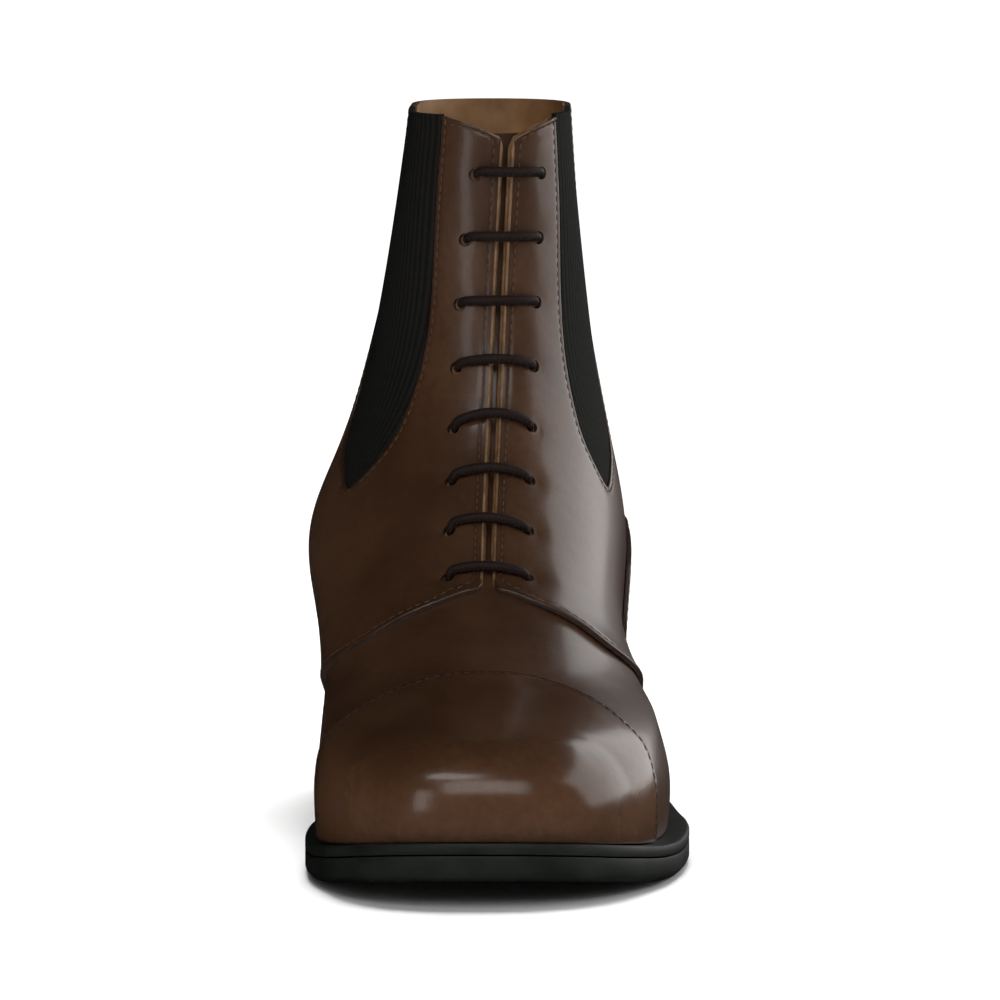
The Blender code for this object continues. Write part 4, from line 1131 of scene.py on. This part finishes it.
def plate(loops, ring_shaped=False, tread=False):
    """A sole piece from loops that run from its underside up to its top."""
    bm = bmesh.new()
    rows = []
    for loop in loops:
        verts = [bm.verts.new(place) for place in loop]
        rows.append([bm.edges.new((verts[i - 1], verts[i])) for i in range(len(verts))])
    pairs = list(zip(rows, rows[1:])) + ([(rows[-1], rows[0])] if ring_shaped else [])
    for low, high in pairs:
        bmesh.ops.bridge_loops(bm, edges=low + high)
    if not ring_shaped:
        bm.verts.ensure_lookup_table()
        count = len(loops[0])
        for start in (0, (len(loops) - 1) * count):
            for i in range(count // 2):
                spots = [start + j % count for j in (i, i + 1, count - i - 1, count - i)]
                corners = [bm.verts[j] for j in dict.fromkeys(spots)]
                if len(corners) > 2:
                    bm.faces.new(corners)
    bmesh.ops.recalc_face_normals(bm, faces=bm.faces)
    if tread:
        for face in bm.faces:
            if face.normal.z < -0.85:
                face.material_index = 1
    return bm


def finish_plate(name, bm, finishes, replaces):
    piece = add_piece(name, bm, finishes, replaces, 35.0)


def outsole_top(along):
    return tread_height(along) + OUTSOLE_THICKNESS


def make_sole():
    """Outsole, welt, footbed and heel; each table is (inset, lift) from the underside up."""
    loops = [loop_at(outline(-0.55 * HALF_BALL), tread_height),
             loop_at(outline(-0.25 * HALF_BALL), tread_height)]
    for inset, lift in ((SOLE_BEVEL + 0.0004, 0.0), (SOLE_BEVEL, 0.00008), (0.0009, 0.0009),
                        (0.00025, 0.0016), (0.0, 0.0023)):
        loops.append(loop_at(outline(-inset), tread_height, lift))
    for inset, lift in ((0.0, -0.0007), (0.0001, -0.0004), (0.0004, -GAP)):
        loops.append(loop_at(outline(-inset), outsole_top, lift))
    bed = outline(-WELT_BED - GAP, margins=False)
    loops += [loop_at(bed, outsole_top, -GAP), loop_at(bed, sole_top)]
    finish_plate("rubber_outsole", plate(loops, tread=True), (RUBBER, TREAD), ["outsole"])

    inner = outline(-WELT_BED, margins=False)
    loops = [loop_at(inner, outsole_top)]
    for inset, lift in ((0.0004, 0.0), (0.0001, 0.0001), (0.0, 0.0004)):
        loops.append(loop_at(outline(-inset), outsole_top, lift))
    for inset, lift in ((0.0, -0.0008), (0.00025, -0.0003), (0.0008, 0.0)):
        loops.append(loop_at(outline(-inset), sole_top, lift))
    loops.append(loop_at(inner, sole_top))
    finish_plate("welt_strip", plate(loops, ring_shaped=True), (RUBBER,), ["welt"])

    edge = outline(-(VAMP_WALL + 4.0 * GAP), margins=False)
    drawn_in = outline(-(VAMP_WALL + 4.0 * GAP + 0.0008), margins=False)
    loops = [loop_at(edge, sole_top, GAP), loop_at(edge, sole_top, INSOLE_THICKNESS - 0.0008),
             loop_at(drawn_in, sole_top, GAP + INSOLE_THICKNESS)]
    finish_plate("footbed", plate(loops), (LINING,), ["insole"])

    loops = []
    for inset, lift in ((0.0032, 0.0), (0.0024, 0.0003), (0.0020, 0.0010)):
        loops.append(loop_at(outline(-inset), flat_floor, lift))
    for inset, lift in ((0.0004, -0.0012), (GAP + 0.0005, -0.0006), (GAP + 0.0012, -GAP)):
        loops.append(loop_at(outline(-inset), tread_height, lift))
    bm = plate(loops, tread=True)
    made = bmesh.ops.bisect_plane(bm, geom=bm.verts[:] + bm.edges[:] + bm.faces[:], dist=1e-7,
                                  plane_co=(0.0, HEEL_CENTRE - HEEL_BREAST, 0.0),
                                  plane_no=(0.0, -1.0, BREAST_LEAN), clear_outer=True)
    rim = [item for item in made["geom_cut"] if isinstance(item, bmesh.types.BMEdge)]
    bmesh.ops.edgenet_fill(bm, edges=rim)
    bmesh.ops.recalc_face_normals(bm, faces=bm.faces)
    finish_plate("block_heel", bm, (RUBBER, TREAD), ["heel"])


# Studio

CAMERA = Vector((0.015, -1.739, 0.236))
YAW, PITCH = math.radians(2.3), math.radians(4.9)
SENSOR = 36.0              # millimetres
PHOTO_LENS = 67.0
PHOTO_FOCAL = 1862.0       # the same lens in pixels of the photograph
BOOT_RIGHT, BOOT_DOWN = 61.0, 5.0   # pixels from the photograph's middle to the boot's
ENLARGED = 3.25


def make_camera():
    """The photograph's place and angle, with a longer lens turned to the one boot."""
    ahead = Vector((-math.sin(YAW) * math.cos(PITCH), math.cos(YAW) * math.cos(PITCH),
                    -math.sin(PITCH)))
    right = Vector((math.cos(YAW), math.sin(YAW), 0.0))
    up = right.cross(ahead)
    way = ahead + right * (BOOT_RIGHT / PHOTO_FOCAL) - up * (BOOT_DOWN / PHOTO_FOCAL)
    data = bpy.data.cameras.new("camera")
    data.sensor_width = SENSOR
    data.lens = PHOTO_LENS * ENLARGED
    camera = bpy.data.objects.new("camera", data)
    camera.location = CAMERA
    camera.rotation_euler = way.to_track_quat('-Z', 'Y').to_euler()
    bpy.context.scene.collection.objects.link(camera)
    bpy.context.scene.camera = camera


def add_light(name, place, target, size, power):
    """A rectangular soft light that faces its target; power in watts."""
    data = bpy.data.lights.new(name, 'AREA')
    data.shape = 'RECTANGLE'
    data.size, data.size_y = size
    data.energy = power
    light = bpy.data.objects.new(name, data)
    light.location = place
    light.rotation_euler = (Vector(target) - Vector(place)).to_track_quat('-Z', 'Y').to_euler()
    bpy.context.scene.collection.objects.link(light)
    return light


FLOOR_HALF = 6.0           # half the floor's width, and the height of its back
SWEEP_START = 3.0
SWEEP_RADIUS = 1.5


def make_floor():
    """Pale floor that sweeps up behind the boot and glows there."""
    bm = bmesh.new()
    points = [(-FLOOR_HALF, -FLOOR_HALF, 0.0)]
    for a in np.linspace(0.0, math.pi / 2.0, 16):
        points.append((-FLOOR_HALF, SWEEP_START + SWEEP_RADIUS * math.sin(a),
                       SWEEP_RADIUS - SWEEP_RADIUS * math.cos(a)))
    points.append((-FLOOR_HALF, SWEEP_START + SWEEP_RADIUS, FLOOR_HALF))
    verts = [bm.verts.new(point) for point in points]
    edges = [bm.edges.new(pair) for pair in zip(verts, verts[1:])]
    made = bmesh.ops.extrude_edge_only(bm, edges=edges)
    moved = [item for item in made["geom"] if isinstance(item, bmesh.types.BMVert)]
    bmesh.ops.translate(bm, verts=moved, vec=(2.0 * FLOOR_HALF, 0.0, 0.0))
    for face in bm.faces:
        face.normal_update()
        if face.normal.z < 0.0 or face.normal.y > 0.5:
            face.normal_flip()
    mesh = bpy.data.meshes.new("floor")
    bm.to_mesh(mesh)
    bm.free()
    mesh.shade_smooth()
    pale, tree, shader = shader_material("pale_floor", (0.95, 0.95, 0.95), 0.55,
                                         Specular_IOR_Level=0.2)
    shader.inputs["Emission Color"].default_value = (1.0, 1.0, 1.0, 1.0)
    spot = add_node(tree, "ShaderNodeSeparateXYZ", Vector=object_place(tree))
    aside = add_node(tree, "ShaderNodeMath", {"operation": 'ABSOLUTE'}, _0=spot.outputs["X"])
    glow = [add_node(tree, "ShaderNodeMapRange", {"interpolation_type": 'SMOOTHSTEP'},
                     Value=value, From_Min=near, From_Max=far, To_Min=low, To_Max=high).outputs[0]
            for value, near, far, low, high in ((spot.outputs["Y"], 0.25, 1.5, 0.0, 1.0),
                                                (aside.outputs[0], 0.45, 1.1, 1.0, 0.0),
                                                (spot.outputs["Z"], 0.30, 0.70, 1.0, 0.0))]
    plan = add_node(tree, "ShaderNodeMath", {"operation": 'MULTIPLY'}, _0=glow[0], _1=glow[1])
    glow = add_node(tree, "ShaderNodeMath", {"operation": 'MULTIPLY'}, _0=glow[2],
                    _1=plan.outputs[0])
    tree.links.new(glow.outputs[0], shader.inputs["Emission Strength"])
    mesh.materials.append(pale)
    floor = bpy.data.objects.new("floor", mesh)
    bpy.context.scene.collection.objects.link(floor)
    floor.visible_glossy = False
    return floor


def make_world():
    """Sky that is bright on the boot's outer side and dim on its inner side."""
    world = bpy.data.worlds.new("studio")
    world.use_nodes = True
    tree = world.node_tree
    seen = add_node(tree, "ShaderNodeTexCoord").outputs["Generated"]
    way = add_node(tree, "ShaderNodeSeparateXYZ", Vector=seen)
    shade = add_node(tree, "ShaderNodeMapRange", {"interpolation_type": 'SMOOTHSTEP'},
                     Value=way.outputs["X"], From_Min=-0.5, From_Max=0.9, To_Min=0.025,
                     To_Max=0.60)
    tree.links.new(shade.outputs[0], tree.nodes["Background"].inputs["Strength"])
    bpy.context.scene.world = world


def make_lights(floor):
    """Soft lights on the boot, and one that falls on the floor alone."""
    bpy.context.scene.view_settings.view_transform = 'Standard'
    apart = bpy.data.collections.new("floor_light")
    apart.objects.link(floor)
    above = add_light("floor_softbox", (0.0, 0.40, 1.9), (0.0, -0.05, 0.0), (1.2, 1.0), 9.5)
    above.data.spread = math.radians(70.0)
    above.light_linking.receiver_collection = apart
    add_light("front_softbox", (0.30, -2.3, 1.5), (0.0, -0.1, 0.05), (2.0, 1.1), 17.0)
    add_light("high_softbox", (-0.40, -1.3, 1.8), (0.0, -0.2, 0.05), (0.9, 0.4), 5.5)
    add_light("left_softbox", (-1.1, -1.9, 0.45), (0.0, -0.1, 0.12), (0.5, 1.1), 4.0)
    add_light("side_softbox", (1.5, 0.65, 0.75), (0.0, -0.1, 0.09), (2.6, 1.5), 25.0)


make_leathers()
make_tongue()
make_stitches()
make_lace()
make_sole()
make_camera()
studio_floor = make_floor()
make_world()
make_lights(studio_floor)
